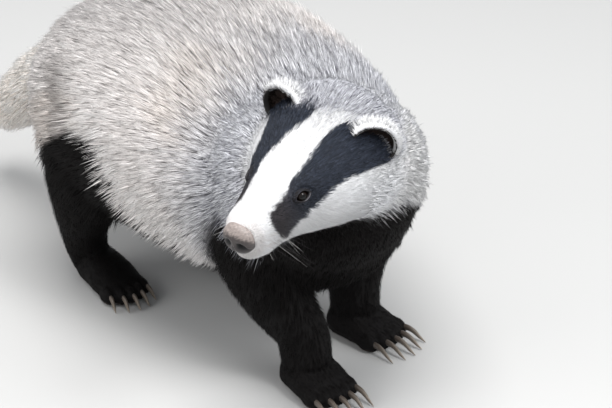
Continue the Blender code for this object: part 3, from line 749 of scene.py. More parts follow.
def round_eyes(head):
    """For each eye, how places in the head's frame lie round it.

    These are their distance, how far along, across and outwards they are, their level, which is
    1 at the edge of the opening, the direction to each and the direction out of the eye.
    """
    for sign in (1, -1):
        out = unit(sided((0.36, 0.82, 0.42), sign))
        along = sided((0.93, -0.36, -0.16), sign)
        along = unit(along - out * (along @ out))
        away = head - sided(EYE_PLACE, sign)
        a, c, h = away @ along, away @ (np.cross(along, out) * sign), away @ out
        # The opening is an almond, drawn out a little to a tear duct in front
        corner = np.where(a > 0, 0.0066, 0.0058)
        height = np.where(c > 0, 0.0043, 0.0038)
        level = (np.abs(a / corner) ** 1.7 + np.abs(c / height) ** 1.7) ** (1 / 1.7)
        yield np.linalg.norm(away, axis=1), a, c, h, level, unit(away), out


def make_skin():
    pile = Pile()
    pile.add(*TRUNK_FORM.mesh_data(60, 72, inset=COAT_SHARE))
    pile.add(*NECK_FORM.mesh_data(40, 64, inset=COAT_SHARE))
    pile.add(*TAIL_FORM.mesh_data(30, 36, inset=COAT_SHARE))
    points, polygons = SKULL_FORM.mesh_data(60, 72, drop=0.0008)
    pile.add(place_of(HEAD, points), polygons)
    for form, matrix, (length, width, _) in FEET.values():
        pile.add(*form.mesh_data(30, 36, drop=0.0020))
        points, polygons = pad_form(length, width).mesh_data(20, 32, drop=0.0006)
        pile.add(place_of(matrix, points), polygons)
    obj = new_object("skin", pile.verts, pile.faces)
    work = bmesh.new()
    work.from_mesh(obj.data)

    def lump(matrix, place, radii, around, rings):
        shape = matrix @ Matrix.LocRotScale(Vector(place), None, Vector(radii))
        bmesh.ops.create_uvsphere(
            work, u_segments=around, v_segments=rings, radius=1, matrix=shape
        )

    lump(HEAD, CHIN_PLACE, CHIN_RADII, 28, 16)
    for _, matrix, (length, width, _) in FEET.values():
        for k in TOES:
            x, y, _ = toe_place(length, width, k)
            lump(matrix, (x, y, 0.0087), (0.0125, 0.0058, 0.0088), 20, 12)
    bmesh.ops.recalc_face_normals(work, faces=work.faces)
    work.to_mesh(obj.data)
    work.free()
    modifier = obj.modifiers.new("remesh", "REMESH")
    modifier.mode = "VOXEL"
    modifier.voxel_size = SKIN_CELL
    modifier.use_smooth_shade = True
    smooth = obj.modifiers.new("smooth", "SMOOTH")
    smooth.factor = 0.5
    smooth.iterations = 3
    bpy.context.view_layer.update()
    evaluated = obj.evaluated_get(bpy.context.evaluated_depsgraph_get())
    mesh = bpy.data.meshes.new_from_object(evaluated)
    obj.modifiers.clear()
    obj.data = mesh

    # The creases where head, neck, legs and tail meet the body are filled
    points = coordinates(mesh)
    edges = mesh_edges(mesh)
    group = GROUP_OF_REGION[regions_of(points)[0]]
    shares = blur(np.eye(5)[group], edges, 90)
    crease = np.clip(3.2 * (1 - shares.max(1)), 0, 1) * smoothstep(0.035, 0.055, points[:, 2])
    own = normals(mesh)
    fill = np.maximum(((blur(points, edges, 170, crease) - points) * own).sum(-1), 0)
    points = points + own * blur(fill, edges, 6)[:, None]
    set_coordinates(mesh, blur(points, edges, 8, crease))

    # Finer faces on the head, and finer again round the eyes and nose
    work = bmesh.new()
    work.from_mesh(mesh)

    def refine(test):
        chosen = {e for e in work.edges if all(test(HEAD_BACK @ v.co) for v in e.verts)}
        bmesh.ops.subdivide_edges(work, edges=list(chosen), cuts=1, use_grid_fill=True, smooth=0.3)

    eyes = [Vector(sided(EYE_PLACE, sign)) for sign in (-1, 1)]

    def near_eye_or_nose(p):
        by_nose = p.x > 0.108 and abs(p.y) < 0.028 and abs(p.z) < 0.055
        return by_nose or (p - eyes[p.y > 0]).length < 0.015

    refine(lambda p: p.x > 0.030 and abs(p.y) < 0.06 and abs(p.z) < 0.06)
    refine(near_eye_or_nose)
    work.to_mesh(mesh)
    work.free()

    points = coordinates(mesh)
    head = place_of(HEAD_BACK, points)
    outward = turn_of(HEAD_BACK, normals(mesh))
    x, y, z = head.T
    side = np.abs(y)
    on_head = smoothstep(-0.03, 0.0, x) * (np.linalg.norm(head, axis=1) < HEAD_REACH)

    def bump(cx, cy, cz, rx, ry, rz):
        return np.exp(-(((x - cx) / rx) ** 2 + ((side - cy) / ry) ** 2 + ((z - cz) / rz) ** 2))

    push = 0.0014 * bump(0.070, 0.0200, 0.0170, 0.012, 0.008, 0.006)
    push -= 0.0014 * bump(0.091, 0.0180, 0.0040, 0.010, 0.008, 0.008)
    push += 0.0022 * bump(0.035, 0.0480, -0.0150, 0.026, 0.015, 0.016)
    push += 0.0012 * bump(0.112, 0.0170, -0.0300, 0.012, 0.007, 0.008)
    push -= 0.0008 * np.exp(-(((x - 0.060) / 0.040) ** 2 + (y / 0.007) ** 2)) * (z > 0)
    gap = mouth_distance(head)
    roll = bell(gap - 0.0030, 0.0016) * 0.0008
    groove = -bell(gap, 0.0010) * 0.0024
    push = push + (roll + groove) * smoothstep(0.052, 0.060, x)
    head = head + outward * (push * on_head)[:, None]
    for gap, a, c, h, r, _, out in round_eyes(head):
        near = (gap < 0.019) & (h > -0.005) & (r < 2.3)
        shell = np.sqrt(np.maximum(LID_BALL**2 - (a * 0.72) ** 2 - c**2, 0.0030**2))
        bed = np.sqrt(np.maximum(EYE_RADIUS**2 - a**2 - c**2, 0)) - 0.0026
        lid = shell + (h - shell) * smoothstep(1.05, 2.2, r)
        lid += 0.0004 * bell(r - 1.18, 0.12)
        lid -= 0.0004 * bell(r - 1.62, 0.12) * np.where(c > 0, 1.0, 0.5)
        target = bed + (lid - bed) * smoothstep(0.93, 1.05, r)
        head = head + out * ((target - h) * near)[:, None]
    points = place_of(HEAD, head)
    points[:, 2] = np.maximum(points[:, 2], 0.0)
    set_coordinates(mesh, points)
    return obj


def skin_colours(points, weight):
    under, band, _ = coat_tone(points, weight)
    head = place_of(HEAD_BACK, points)
    short = smoothstep(0.00, 0.05, head[:, 0]) * weight[:, 1]
    # The skin is painted darker than the hair over it, a painted shade beneath the coat; on the
    # face it keeps nearer the hair's under colour
    colour = mix(under * 0.60 + band * 0.32, under * 0.9, short)
    on_head = np.linalg.norm(head, axis=1) < HEAD_REACH
    line = bell(mouth_distance(head), 0.0012) * (head[:, 0] > 0.052) * on_head
    colour = mix(colour, (0.030, 0.022, 0.021), line)
    for gap, a, c, h, r, _, _ in round_eyes(head):
        near = (gap < EYE_AREA) & (h > -0.005)
        colour = mix(colour, (0.010, 0.009, 0.010), smoothstep(1.75, 1.45, r) * near)
        # The rim of the lids is painted a little lighter, a painted highlight along their edge
        rim = bell(r - 1.12, 0.07) * near
        colour = mix(colour, (0.034, 0.032, 0.036), 0.5 * rim)
        # A painted highlight: the wet edge of the lower lid, behind, is painted pale as its glint
        lid_glint = rim * smoothstep(0.0012, -0.0008, c) * smoothstep(0.0030, -0.0010, a)
        colour = mix(colour, (0.17, 0.165, 0.18), 0.85 * lid_glint)
        colour = mix(colour, (0.006, 0.005, 0.005), smoothstep(1.06, 1.00, r) * near)
    sole = (points[:, 2] < 0.004) & (weight[:, 3] > 0.5)
    colour[sole] = (0.045, 0.036, 0.032)
    return colour


def skin_map(mesh, region, share, angle):
    """The unwrap of the skin. Each face lies wholly in its first corner's region."""
    vertex = read(mesh.loops, "vertex_index")
    starts = read(mesh.polygons, "loop_start")
    totals = read(mesh.polygons, "loop_total")
    first = vertex[np.repeat(starts, totals)]
    base, low_cut = angle[first], -math.pi / 2
    near_angle = base + (angle[vertex] - base + math.pi) % math.tau - math.pi
    turn = (base - low_cut) % math.tau + (near_angle - base)
    uv = np.zeros((len(vertex), 2))
    for index, (u0, v0, width, height) in enumerate(ATLAS.values()):
        chosen = region[first] == index
        uv[chosen, 0] = u0 + width * share[vertex][chosen]
        uv[chosen, 1] = v0 + height * np.clip(turn[chosen] / math.tau, 0, 1)
    layer = mesh.uv_layers.new(name=UNWRAP)
    layer.data.foreach_set("uv", uv.astype(np.float32).ravel())
    return uv, starts, totals, vertex


# Tufts


def tuft_object(name, paths, across, outward, widths, colours, uvs):
    """One mesh of closed, three-sided, tapering tufts.

    paths is (tufts, rings + 1, 3), whose last column is the tip. widths gives each ring's half
    width, colours is (tufts, rings + 1, 3), and uvs the root's place on the unwrap.
    """
    count, rings = len(paths), paths.shape[1] - 1
    per = rings * 3 + 1
    verts = np.empty((count, per, 3))
    for i in range(rings):
        half = widths[:, i, None]
        verts[:, 3 * i] = paths[:, i] - across * half
        verts[:, 3 * i + 1] = paths[:, i] + across * half
        verts[:, 3 * i + 2] = paths[:, i] + outward * half * TUFT_THICKNESS
    verts[:, -1] = paths[:, -1]
    one = []
    for i in range(rings - 1):
        for k in range(3):
            a, b = 3 * i + k, 3 * i + (k + 1) % 3
            one += [(a, b, b + 3), (a, b + 3, a + 3)]
    last = 3 * (rings - 1)
    one += [(last + k, last + (k + 1) % 3, last + 3) for k in range(3)] + [(0, 2, 1)]
    tris = (np.array(one)[None] + (np.arange(count) * per)[:, None, None]).reshape(-1, 3)
    mesh = bpy.data.meshes.new(name)
    mesh.vertices.add(count * per)
    mesh.vertices.foreach_set("co", verts.astype(np.float32).ravel())
    mesh.loops.add(len(tris) * 3)
    mesh.loops.foreach_set("vertex_index", tris.astype(np.int32).ravel())
    mesh.polygons.add(len(tris))
    mesh.polygons.foreach_set("loop_start", np.arange(0, len(tris) * 3, 3, dtype=np.int32))
    mesh.update(calc_edges=True)
    mesh.shade_smooth()
    # Each tuft has a small patch of the unwrap, at its root's place
    ring_of = np.concatenate([np.repeat(np.arange(rings), 3), [rings]])
    corner_of = np.concatenate([np.tile([-1.0, 1.0, 0.0], rings), [0.0]])
    local = np.stack([corner_of, ring_of / rings], -1) * TUFT_PATCH
    spot = (uvs[:, None, :] + local[None]).reshape(-1, 2)[tris.ravel()]
    layer = mesh.uv_layers.new(name=UNWRAP)
    layer.data.foreach_set("uv", spot.astype(np.float32).ravel())
    return link(name, mesh), colours[:, ring_of].reshape(-1, 3)


COAT_PIECES = []


def add_coat(name, material, *columns):
    """Splits the tufts into pieces of under 200 000 triangles. columns starts with the paths."""
    paths = columns[0]
    triangles = (paths.shape[1] - 2) * 6 + 4
    pieces = math.ceil(len(paths) / (PIECE_TRIANGLES // triangles))
    order = np.argsort(paths[:, 0, 0])
    for number, chosen in enumerate(np.array_split(order, pieces)):
        piece = tuft_object(f"{name}_{number + 1}", *(column[chosen] for column in columns))
        COAT_PIECES.append(finished(*piece, material))


class Hide:
    """The skin with what its hair needs at each vertex, and hair that grows over it."""

    def __init__(self, skin):
        mesh = skin.data
        self.points, self.normals = coordinates(mesh), normals(mesh)
        self.region, share, angle = regions_of(self.points)
        uv, starts, totals, corners = skin_map(mesh, self.region, share, angle)
        self.edges = mesh_edges(mesh)
        first = corners[starts]
        self.corners = np.stack(
            [first, corners[starts + 1], corners[starts + 2], corners[starts + totals - 1]], 1
        )
        self.face_uv = uv[starts]
        a, b, c, d = (self.points[column] for column in self.corners.T)
        self.area = np.linalg.norm(np.cross(b - a, c - a), axis=1) / 2
        self.area += np.linalg.norm(np.cross(c - a, d - a), axis=1) / 2
        self.centres = (a + b + c + d) / 4
        group = GROUP_OF_REGION[self.region]
        group = np.where(group == 4, 0, group)
        self.weight = blur(np.eye(4)[group], self.edges, 14)
        self.head = place_of(HEAD_BACK, self.points)
        self._lie(share)
        # A triangle's last corner is there twice
        polygons = [row[: 3 + (row[2] != row[3])] for row in self.corners.tolist()]
        self.tree = BVHTree.FromPolygons(self.points.tolist(), polygons)

    def _lie(self, share):
        """Direction, length, depth and looseness of the coat at each vertex."""
        points, region = self.points, self.region
        x, _, z = points.T
        count = len(points)
        flow = np.zeros((count, 3))
        length, depth = np.zeros(count), np.zeros(count)
        drop = smoothstep(0.275, 0.14, z)
        for name, form in REGION_FORMS.items():
            mine = region == REGIONS.index(name)
            along = form.frame(share[mine])[1]
            up = z[mine]
            if name in FEET:
                ahead = turn_of(FEET[name][1], (1.0, 0.0, -0.45))
                flow[mine] = mix((-0.28, 0.0, -1.0), ahead, smoothstep(0.045, 0.022, up))
                heights = (0.0, 0.02, 0.05, 0.10, 0.16)
                length[mine] = np.interp(up, heights, (3.5, 5, 9, 15, 22))
                depth[mine] = np.interp(up, heights, (1.0, 1.5, 2.8, 4.5, 7.0))
                continue
            flow[mine] = -along
            depth[mine] = COAT_SHARE * 1000 * form.size(share[mine])[:, 3]
            if name == "trunk":
                flow[mine, 2] -= 0.04 + 0.62 * drop[mine]
                span = np.interp(x[mine], (-0.22, -0.10, 0.05, 0.15, 0.20), (46, 44, 40, 33, 28))
                length[mine] = span * (1 + 0.15 * drop[mine])
            elif name == "neck":
                flow[mine, 2] -= 0.08 + 0.40 * drop[mine]
                length[mine] = np.interp(share[mine], (0.2, 0.6, 0.9), (35, 30, 25))
            else:
                length[mine] = np.interp(share[mine], (0.0, 0.4, 1.0), (46, 52, 42))
                depth[mine] *= 1.5
        mine = region == REGIONS.index("skull")
        flow[mine] = head_field(points[mine])
        hx, _, hz = self.head[mine].T
        span_x = (-0.05, -0.02, 0.01, 0.04, 0.07, 0.10, 0.125)
        span = np.interp(hx, span_x, (24, 20, 14, 10, 6.8, 4.6, 2.6))
        span *= 1 + 0.75 * smoothstep(-0.005, -0.035, hz) * smoothstep(0.095, 0.05, hx)
        length[mine] = span
        depth_x = (-0.05, -0.02, 0.02, 0.05, 0.08, 0.12)
        depth[mine] = np.interp(hx, depth_x, (7, 5.0, 2.8, 1.9, 1.2, 0.7))
        self.flow = unit(blur(unit(flow), self.edges, 45))
        # The tables above are in millimetres
        self.length = blur(length, self.edges, 12) / 1000
        self.depth = blur(depth, self.edges, 50) / 1000
        self.lifts = unit(blur(self.normals, self.edges, 18))
        for gap, _, _, _, _, away, _ in round_eyes(self.head):
            near = smoothstep(0.019, 0.009, gap)
            self.length = self.length * (1 - 0.66 * near)
            self.depth = self.depth * (1 - 0.5 * near)
            self.flow = unit(self.flow + turn_of(HEAD, away) * (1.1 * near)[:, None])
        gap = mouth_distance(self.head)
        self.length = self.length * (1 - 0.45 * smoothstep(0.004, 0.001, gap))
        # The hanging hair of the flank's lower edge is looser and shorter
        above = dark_edge(points)
        body = self.weight[:, 0]
        self.loose = body * smoothstep(-0.010, 0.006, above) * smoothstep(0.050, 0.012, above)
        self.loose *= smoothstep(-0.10, -0.04, x) * smoothstep(0.16, 0.12, x)
        self.length = self.length * (1 - 0.20 * self.loose)
        # The ruff behind the cheek is longer and stands out
        pale, _ = ruff_weight(points)
        pale = blur(pale, self.edges, 10)
        self.depth = self.depth + 0.004 * pale
        self.length = self.length * (1 + 0.20 * pale)

    def bare(self):
        """Faces without hair: the eyes' openings, the nose and the mouth's groove."""
        head = place_of(HEAD_BACK, self.centres)
        bare = np.zeros(len(head), bool)
        for gap, _, _, h, r, _, _ in round_eyes(head):
            bare |= (gap < EYE_AREA) & (r < 1.20) & (h > -0.005)
        away = (head - np.array(NOSE_PLACE)) / (np.array(NOSE_RADII) * 0.95)
        bare |= np.linalg.norm(away, axis=1) < 1.0
        on_head = np.linalg.norm(head, axis=1) < HEAD_REACH
        bare |= (mouth_distance(head) < 0.0011) & (head[:, 0] > 0.055) & on_head
        return bare | (self.centres[:, 2] < 0.0030)

    def nearest(self, places):
        """The places, moved onto the skin, with a vertex of each one's face."""
        found = [self.tree.find_nearest(place) for place in places]
        faces = [index for _, _, index, _ in found]
        return np.array([tuple(spot) for spot, _, _, _ in found]), self.corners[faces, 0]

    def grow(
        self, name, material, density, count, width, seed,
        bent=False, clump=None, scale=1.0, rise=0.0,
    ):
        """Tufts rooted over the skin where density allows, that lie along it to the rear.

        clump has the sizes of the cells whose tufts lean together in a lock. scale shortens the
        tufts, and rise is how far up in the coat they begin.
        """
        steps = BENT if bent else (0.0, 1.0)
        rng = np.random.default_rng(seed)
        chance = self.area * density
        pick = rng.choice(len(chance), count, p=chance / chance.sum())
        s, t = rng.uniform(0, 1, (2, count, 1))
        a, b, c, d = (self.points[column] for column in self.corners[pick].T)
        root = (a * (1 - s) + b * s) * (1 - t) + (d * (1 - s) + c * s) * t
        vertex = self.corners[pick, rng.integers(0, 4, count)]
        length = self.length[vertex] * scale * rng.uniform(0.72, 1.22, count)
        depth = self.depth[vertex]
        lift_noise = shade_noise = turn_noise = np.zeros(count)
        pull = np.zeros((count, 3))
        if clump:
            warped = root + 0.004 * np.stack([wave(root, 90, seed + k) for k in range(3)], -1)
            # The locks' cells lean with the lie of the flank
            lean = np.array([[0.87, 0.0, 0.50], [0.0, 1.0, 0.0], [-0.50, 0.0, 0.87]])
            warped = warped @ lean.T
            cell = np.array(clump)
            index = np.floor(warped / cell)
            key = (index @ HASH_STEPS).astype(np.int64) % HASH_SIZE
            table = np.random.default_rng(seed + 1)
            lift_noise = table.uniform(0, 1, HASH_SIZE)[key]
            turn_noise = table.normal(0, 1, HASH_SIZE)[key]
            shade_noise = table.uniform(-1, 1, HASH_SIZE)[key]
            pull = ((index + 0.5) * cell - warped) @ lean
        flow = self.flow[vertex]
        normal = self.normals[vertex]
        side = np.cross(normal, flow)
        swing = 0.10 * wave(root, 26, seed + 5) + 0.09 * turn_noise + rng.normal(0, 0.06, count)
        flow = unit(flow + side * swing[:, None])
        loose = self.loose[vertex][:, None] * 0.60
        noise = (0.62 if rise else 0.55) + 0.42 * lift_noise - 0.22 * rng.uniform(0, 1, count)
        noise = np.where(rng.uniform(0, 1, count) < 0.04, noise * 1.35, noise)
        sink = np.minimum(0.0020 if bent else 0.0008, length * 0.12) * (rise == 0)
        paths = np.empty((count, len(steps), 3))
        spot, at, free = root, vertex, root
        for i, q in enumerate(steps):
            # One path lies on the skin and one hangs free, and a loose tuft is partly the second
            if i:
                reach = (length * (q - steps[i - 1]))[:, None]
                way = mix(self.flow[at], flow, np.full(count, 0.6))
                up = self.normals[at]
                way = unit(way - up * (way * up).sum(-1, keepdims=True))
                sideways = pull - way * (pull * way).sum(-1, keepdims=True)
                spot, at = self.nearest(spot + way * reach + sideways * 0.24 * q)
                free = free + unit(way + np.array([0, 0, -0.55 * q]) + normal * 0.20) * reach
            lift = depth * noise * (rise + (1 - rise) * (1 - (1 - q) ** 1.6)) - sink * (1 - q)
            laid = spot + self.lifts[at] * lift[:, None]
            hung = free + normal * (lift * 0.8)[:, None]
            paths[:, i] = laid * (1 - loose) + hung * loose
        ahead = unit(paths[:, -1] - paths[:, 0])
        across = unit(np.cross(ahead, normal))
        outward = np.cross(across, ahead)
        outward *= np.where((outward * normal).sum(-1) < 0, -1, 1)[:, None]
        under, band, tip = coat_tone(root, self.weight[vertex])
        # A hair's tip keeps the marking of its root, a little frayed
        uneven = np.where(band.mean(1) < 0.06, 0.24, 0.07)
        fade = np.maximum(1 + 0.10 * shade_noise + rng.normal(0, 1, count) * uneven, 0.4)
        middle = mix(band, (under + tip) / 2, smoothstep(0.020, 0.010, length))
        middle = mix(under, middle, rng.uniform(0.45, 1.0, count))
        kind = rng.uniform(0, 1, count)
        middle = mix(middle, tip, np.where(kind < (0.06 if bent else 0.22), 0.75, 0.0))
        # Where the band is dark, more of the hairs end in it
        often = np.clip(0.72 - 1.02 * band.mean(1), 0.08, 0.60)
        tip = mix(tip, band, np.where(kind > 1 - often, 0.70, 0.0))
        # The root end of each tuft is painted darker, a painted shade deep in the coat
        rings = (under * 0.80, middle, tip) if bent else (middle * 0.92, tip)
        colours = np.stack(rings, 1) * fade[:, None, None]
        size = width(length) * rng.uniform(0.75, 1.25, count)
        widths = size[:, None] * np.interp(steps[:-1], (0.0, 0.4, 1.0), (0.8, 1.0, 0.30))
        add_coat(name, material, paths, across, outward, widths, colours, self.face_uv[pick])


# Materials


def principled(name, **values):
    material = bpy.data.materials.new(name)
    material.use_nodes = True
    for key, value in values.items():
        inputs = material.node_tree.nodes["Principled BSDF"].inputs
        inputs[key.replace("_", " ")].default_value = value
    return material


def painted(name, **values):
    """A material whose colour comes from the mesh's own colours."""
    material = principled(name, **values)
    tree = material.node_tree
    colour = tree.nodes.new("ShaderNodeVertexColor")
    colour.layer_name = "Col"
    base = tree.nodes["Principled BSDF"].inputs["Base Color"]
    tree.links.new(colour.outputs["Color"], base)
    return material


def add_bump(material, scale, strength, distance, stretch=(1, 1, 1), uv=None):
    nodes, links = material.node_tree.nodes, material.node_tree.links
    if uv:
        source = nodes.new("ShaderNodeUVMap")
        source.uv_map = uv
    else:
        source = nodes.new("ShaderNodeTexCoord")
    mapping = nodes.new("ShaderNodeMapping")
    mapping.inputs["Scale"].default_value = stretch
    noise = nodes.new("ShaderNodeTexNoise")
    noise.inputs["Scale"].default_value = scale
    noise.inputs["Detail"].default_value = 4.0
    bump = nodes.new("ShaderNodeBump")
    bump.inputs["Strength"].default_value = strength
    bump.inputs["Distance"].default_value = distance
    links.new(source.outputs["UV" if uv else "Object"], mapping.inputs["Vector"])
    links.new(mapping.outputs["Vector"], noise.inputs["Vector"])
    links.new(noise.outputs["Fac"], bump.inputs["Height"])
    links.new(bump.outputs["Normal"], nodes["Principled BSDF"].inputs["Normal"])


HAIR = painted("coat_hair", Roughness=0.62, Specular_IOR_Level=0.07)
FACE_HAIR = painted("face_hair", Roughness=0.50, Specular_IOR_Level=0.25)
SKIN = painted("skin_hair", Roughness=0.70, Specular_IOR_Level=0.15)
add_bump(SKIN, 60.0, 0.6, 0.0008, (1.0, 9.0, 1.0), uv=UNWRAP)
NOSE = painted("nose_leather", Roughness=0.42)
add_bump(NOSE, 1500.0, 0.45, 0.0003)
# The eye's gloss is all in its coat
EYE = painted(
    "eye_gloss", Roughness=0.08, Specular_IOR_Level=0.0, Coat_Weight=0.6, Coat_Roughness=0.02
)
HORN = painted("claw_horn", Roughness=0.35)
EAR = painted("ear_skin", Roughness=0.70)
WHISKER = painted("whisker_hair", Roughness=0.35)


# Pieces


SIDES = (("left", 1), ("right", -1))


def make_eyes():
    for side, sign in SIDES:
        sphere = {"u_segments": 48, "v_segments": 32, "radius": EYE_RADIUS}
        obj = new_ball(f"eyeball_{side}", bmesh.ops.create_uvsphere, **sphere)
        points = coordinates(obj.data)
        facing = unit(points) @ unit(sided((0.44, 0.86, 0.26), sign))
        iris, pupil = smoothstep(0.62, 0.72, facing), smoothstep(0.885, 0.91, facing)
        colour = mix((0.004, 0.003, 0.003), (0.007, 0.004, 0.003), iris)
        colour = mix(colour, (0.003, 0.003, 0.003), pupil)
        # The cornea stands a little proud
        points = points * (1 + 0.035 * smoothstep(0.72, 1.0, facing))[:, None]
        set_coordinates(obj.data, place_of(HEAD, points + sided(EYE_PLACE, sign)))
        finished(obj, colour, EYE)
        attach(obj, "root")
        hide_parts(f"eye_{side}")


# Line of the left nostril in the nose's own frame, and its half width
NOSTRIL = (
    (0.0102, 0.0066, -0.0010, 0.0035),
    (0.0094, 0.0086, -0.0018, 0.0031),
    (0.0074, 0.0112, -0.0030, 0.0019),
    (0.0036, 0.0134, -0.0034, 0.0009),
)


def make_nose():
    obj = new_ball("nose_pad", bmesh.ops.create_icosphere, subdivisions=6, radius=1)
    sphere = coordinates(obj.data)
    x, _, z = sphere.T
    # Broad and blunt, flatter in front, narrower below
    power = 2.5
    body = sphere / (np.abs(sphere) ** power).sum(-1, keepdims=True) ** (1 / power)
    radii = np.array(NOSE_RADII) * (0.99, 0.95, 0.97)
    points = body * radii
    points[:, 1] *= 1 - 0.26 * smoothstep(-0.1, -1.0, z)
    points[:, 0] -= 0.0030 * smoothstep(0.1, -1.0, z)
    points[:, 0] -= 0.0012 * smoothstep(0.2, 1.0, z) * smoothstep(0.0, 1.0, x)
    # The groove in the middle, the nostrils and a swelling over each
    push = -0.0012 * bell(points[:, 1], 0.0009) * smoothstep(0.3, 0.8, x)
    push = push * smoothstep(0.15, -0.35, z)
    for sign in (1, -1):
        line = np.array(NOSTRIL) * (1, sign, 1, 1)
        for a, b in zip(line[:-1], line[1:]):
            for t in np.linspace(0, 1, 5):
                *spot, size = a + t * (b - a)
                gap = np.linalg.norm(points - spot, axis=1)
                push = np.minimum(push, -0.0062 * (size / 0.0035) * bell(gap, size))
        rim = np.linalg.norm(points - sided((0.0094, 0.0070, 0.0030), sign), axis=1)
        push = push + 0.0009 * bell(rim, 0.0030)
    normal = unit(points / radii**2)
    deep = smoothstep(-0.0008, -0.0026, push)
    grain = 0.5 * wave(points, 1500, 61) + 0.5 * wave(points, 3600, 62)
    push = push + 0.00010 * grain
    # The top of the nose is painted lighter, a painted sheen and sky reflection on its upper face,
    # mottled by the grain; the colour grows darker towards the bottom
    top = smoothstep(-0.16, 0.16, z - 0.14 - 0.42 * x + 0.10 * grain)
    top_sheen_tone = np.array([0.230, 0.195, 0.180]) * (1 + 0.35 * grain)[:, None]
    colour = mix((0.045, 0.037, 0.036), top_sheen_tone, top)
    colour = mix(colour, (0.022, 0.019, 0.021), smoothstep(0.1, -0.6, z) * 0.8)
    # The nostrils' hollows are painted near black, painted shade in the recesses
    colour = mix(colour, (0.004, 0.004, 0.004), deep)
    points = points + normal * push[:, None]
    set_coordinates(obj.data, place_of(HEAD, points + np.array(NOSE_PLACE)))
    finished(obj, colour, NOSE)
    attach(obj, "root")
    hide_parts("nose")


def ear_frame(sign):
    turn = Euler((sign * math.radians(-28), 0, sign * EAR_OUTWARD[sign]))
    return HEAD @ Matrix.LocRotScale(Vector(sided(EAR_PLACE, sign)), turn, None)


EAR_WIDE, EAR_TALL, EAR_DEEP = 0.0202, 0.0194, 0.0118


def ear_surface(r, turn, inner):
    """A place on the cup: r is 0 in its middle and 1 at the rim, which flares a little."""
    bowl = np.sqrt(np.maximum(1 - r**2, 0))
    size, x = (0.92, 0.0015 - 0.0105 * bowl) if inner else (1.0, -EAR_DEEP * bowl)
    y = EAR_WIDE * size * r * np.cos(turn)
    z = EAR_TALL * size * r * np.sin(turn)
    return np.stack([x + 0.0012 * r**6, y, z], -1)


def rim_share(turn, sign):
    """How much of the rim's hair is white at a turn round the ear."""
    middle = math.radians(92 if sign > 0 else 30)
    away = np.abs((turn - middle + math.pi) % math.tau - math.pi)
    return smoothstep(math.radians(90), math.radians(72), away)


def make_ear_cup(side, matrix):
    around, rings = 56, 14
    turn = np.arange(around) * math.tau / around
    back = [ear_surface(np.full(around, r), turn, False) for r in np.linspace(0.04, 1, rings)]
    front = [ear_surface(np.full(around, r), turn, True) for r in np.linspace(1, 0.04, rings)]
    edge = (back[-1] + front[0]) / 2 + (0.0012, 0, 0)
    verts = place_of(matrix, np.concatenate([*back, edge, *front]))
    obj = new_object(f"ear_cup_{side}", verts, tube_faces(2 * rings + 1, around))
    finished(obj, (0.016, 0.014, 0.014), EAR)
    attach(obj, "root")
    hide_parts(f"ear_{side}")
    work = bmesh.new()
    work.from_mesh(obj.data)
    bmesh.ops.recalc_face_normals(work, faces=work.faces)
    work.to_mesh(obj.data)
    work.free()


def make_ear_hair(rng, side, sign, matrix, label, count, first, last, length):
    """White hair over the rim, black on the back, dark and longer in the cup."""
    inner = label != "back"
    r = np.sqrt(rng.uniform(first**2, last**2, count * 2))
    turn = rng.uniform(0, math.tau, count * 2)
    if label == "rim":
        keep = rng.uniform(0, 1, count * 2) < rim_share(turn, sign)
        r, turn = r[keep], turn[keep]
    r, turn = r[:count], turn[:count]
    count = len(r)
    root = ear_surface(r, turn, inner)
    outer = ear_surface(np.minimum(r + 0.02, 1.0), turn, inner)
    radial = unit(outer - ear_surface(r - 0.02, turn, inner))
    facing = unit(np.cross(ear_surface(r, turn + 0.05, inner) - root, radial))
    centre = np.array([0.03 if inner else -0.03, 0, 0])
    facing[(facing * (root - centre)).sum(-1) < 0] *= -1
    nought, c, s = np.zeros(count), np.cos(turn), np.sin(turn)
    spread = np.stack([nought, c, s], -1)
    share = rim_share(turn, sign)
    if label == "back":
        lie = unit(spread * 0.9 + (-0.30, 0.0, 0.35))
        white = smoothstep(0.55, 0.78, r) * share
        tone, end = mix(BLACK, WHITE * 0.95, white), mix(BLACK * 1.8, WHITE, white)
    elif label == "rim":
        round_rim = sign * np.stack([nought, s, -c], -1)
        lie = unit(spread * 0.60 + round_rim * 0.40 + (0.42, 0, 0))
        tone, end = (np.tile(WHITE * k, (count, 1)) for k in (1.08, 1.16))
    else:
        lie = unit(spread * 0.45 + (0.75, 0, 0.30) + (0.0, sign * 0.45, 0.0))
        white = smoothstep(0.89, 0.95, r) * share
        brown = np.array([0.030, 0.020, 0.017])
        tone, end = mix(brown, WHITE * 0.7, white), mix(brown * 2.6, WHITE * 0.9, white)
    lie = unit(lie + rng.normal(0, 0.20, (count, 3)))
    size = length * rng.uniform(0.55, 1.2, count)
    if label == "inner":
        size = size * (1 - 0.35 * r)
    paths = np.empty((count, 3, 3))
    curl = spread * 0.10 - (0.35, 0, 0)
    for i, q in enumerate(BENT):
        step = size[:, None] * q
        paths[:, i] = root + lie * step + curl * step * q - facing * (0.0006 * (1 - q))
    world = place_of(matrix, paths.reshape(-1, 3)).reshape(paths.shape)
    across = turn_of(matrix, unit(np.cross(lie, facing)))
    width = 0.00030 * rng.uniform(0.8, 1.3, count)
    widths = np.stack([width, width * 0.8], 1)
    shade = rng.uniform(0.8, 1.1, count)[:, None, None]
    # Each hair's root is painted darker, a painted shade deep in the hair, and the black and brown
    # hairs' tips are painted lighter, a painted sheen
    colours = np.stack([tone * 0.8, tone, end], 1) * shade
    spot = atlas("skull", 0.30 + 0.04 * r, (0.9 if sign > 0 else 2.24) + 0.1 * c)
    coat = (world, across, turn_of(matrix, facing), widths, colours, spot)
    add_coat(f"ear_{label}_{side}", FACE_HAIR, *coat)


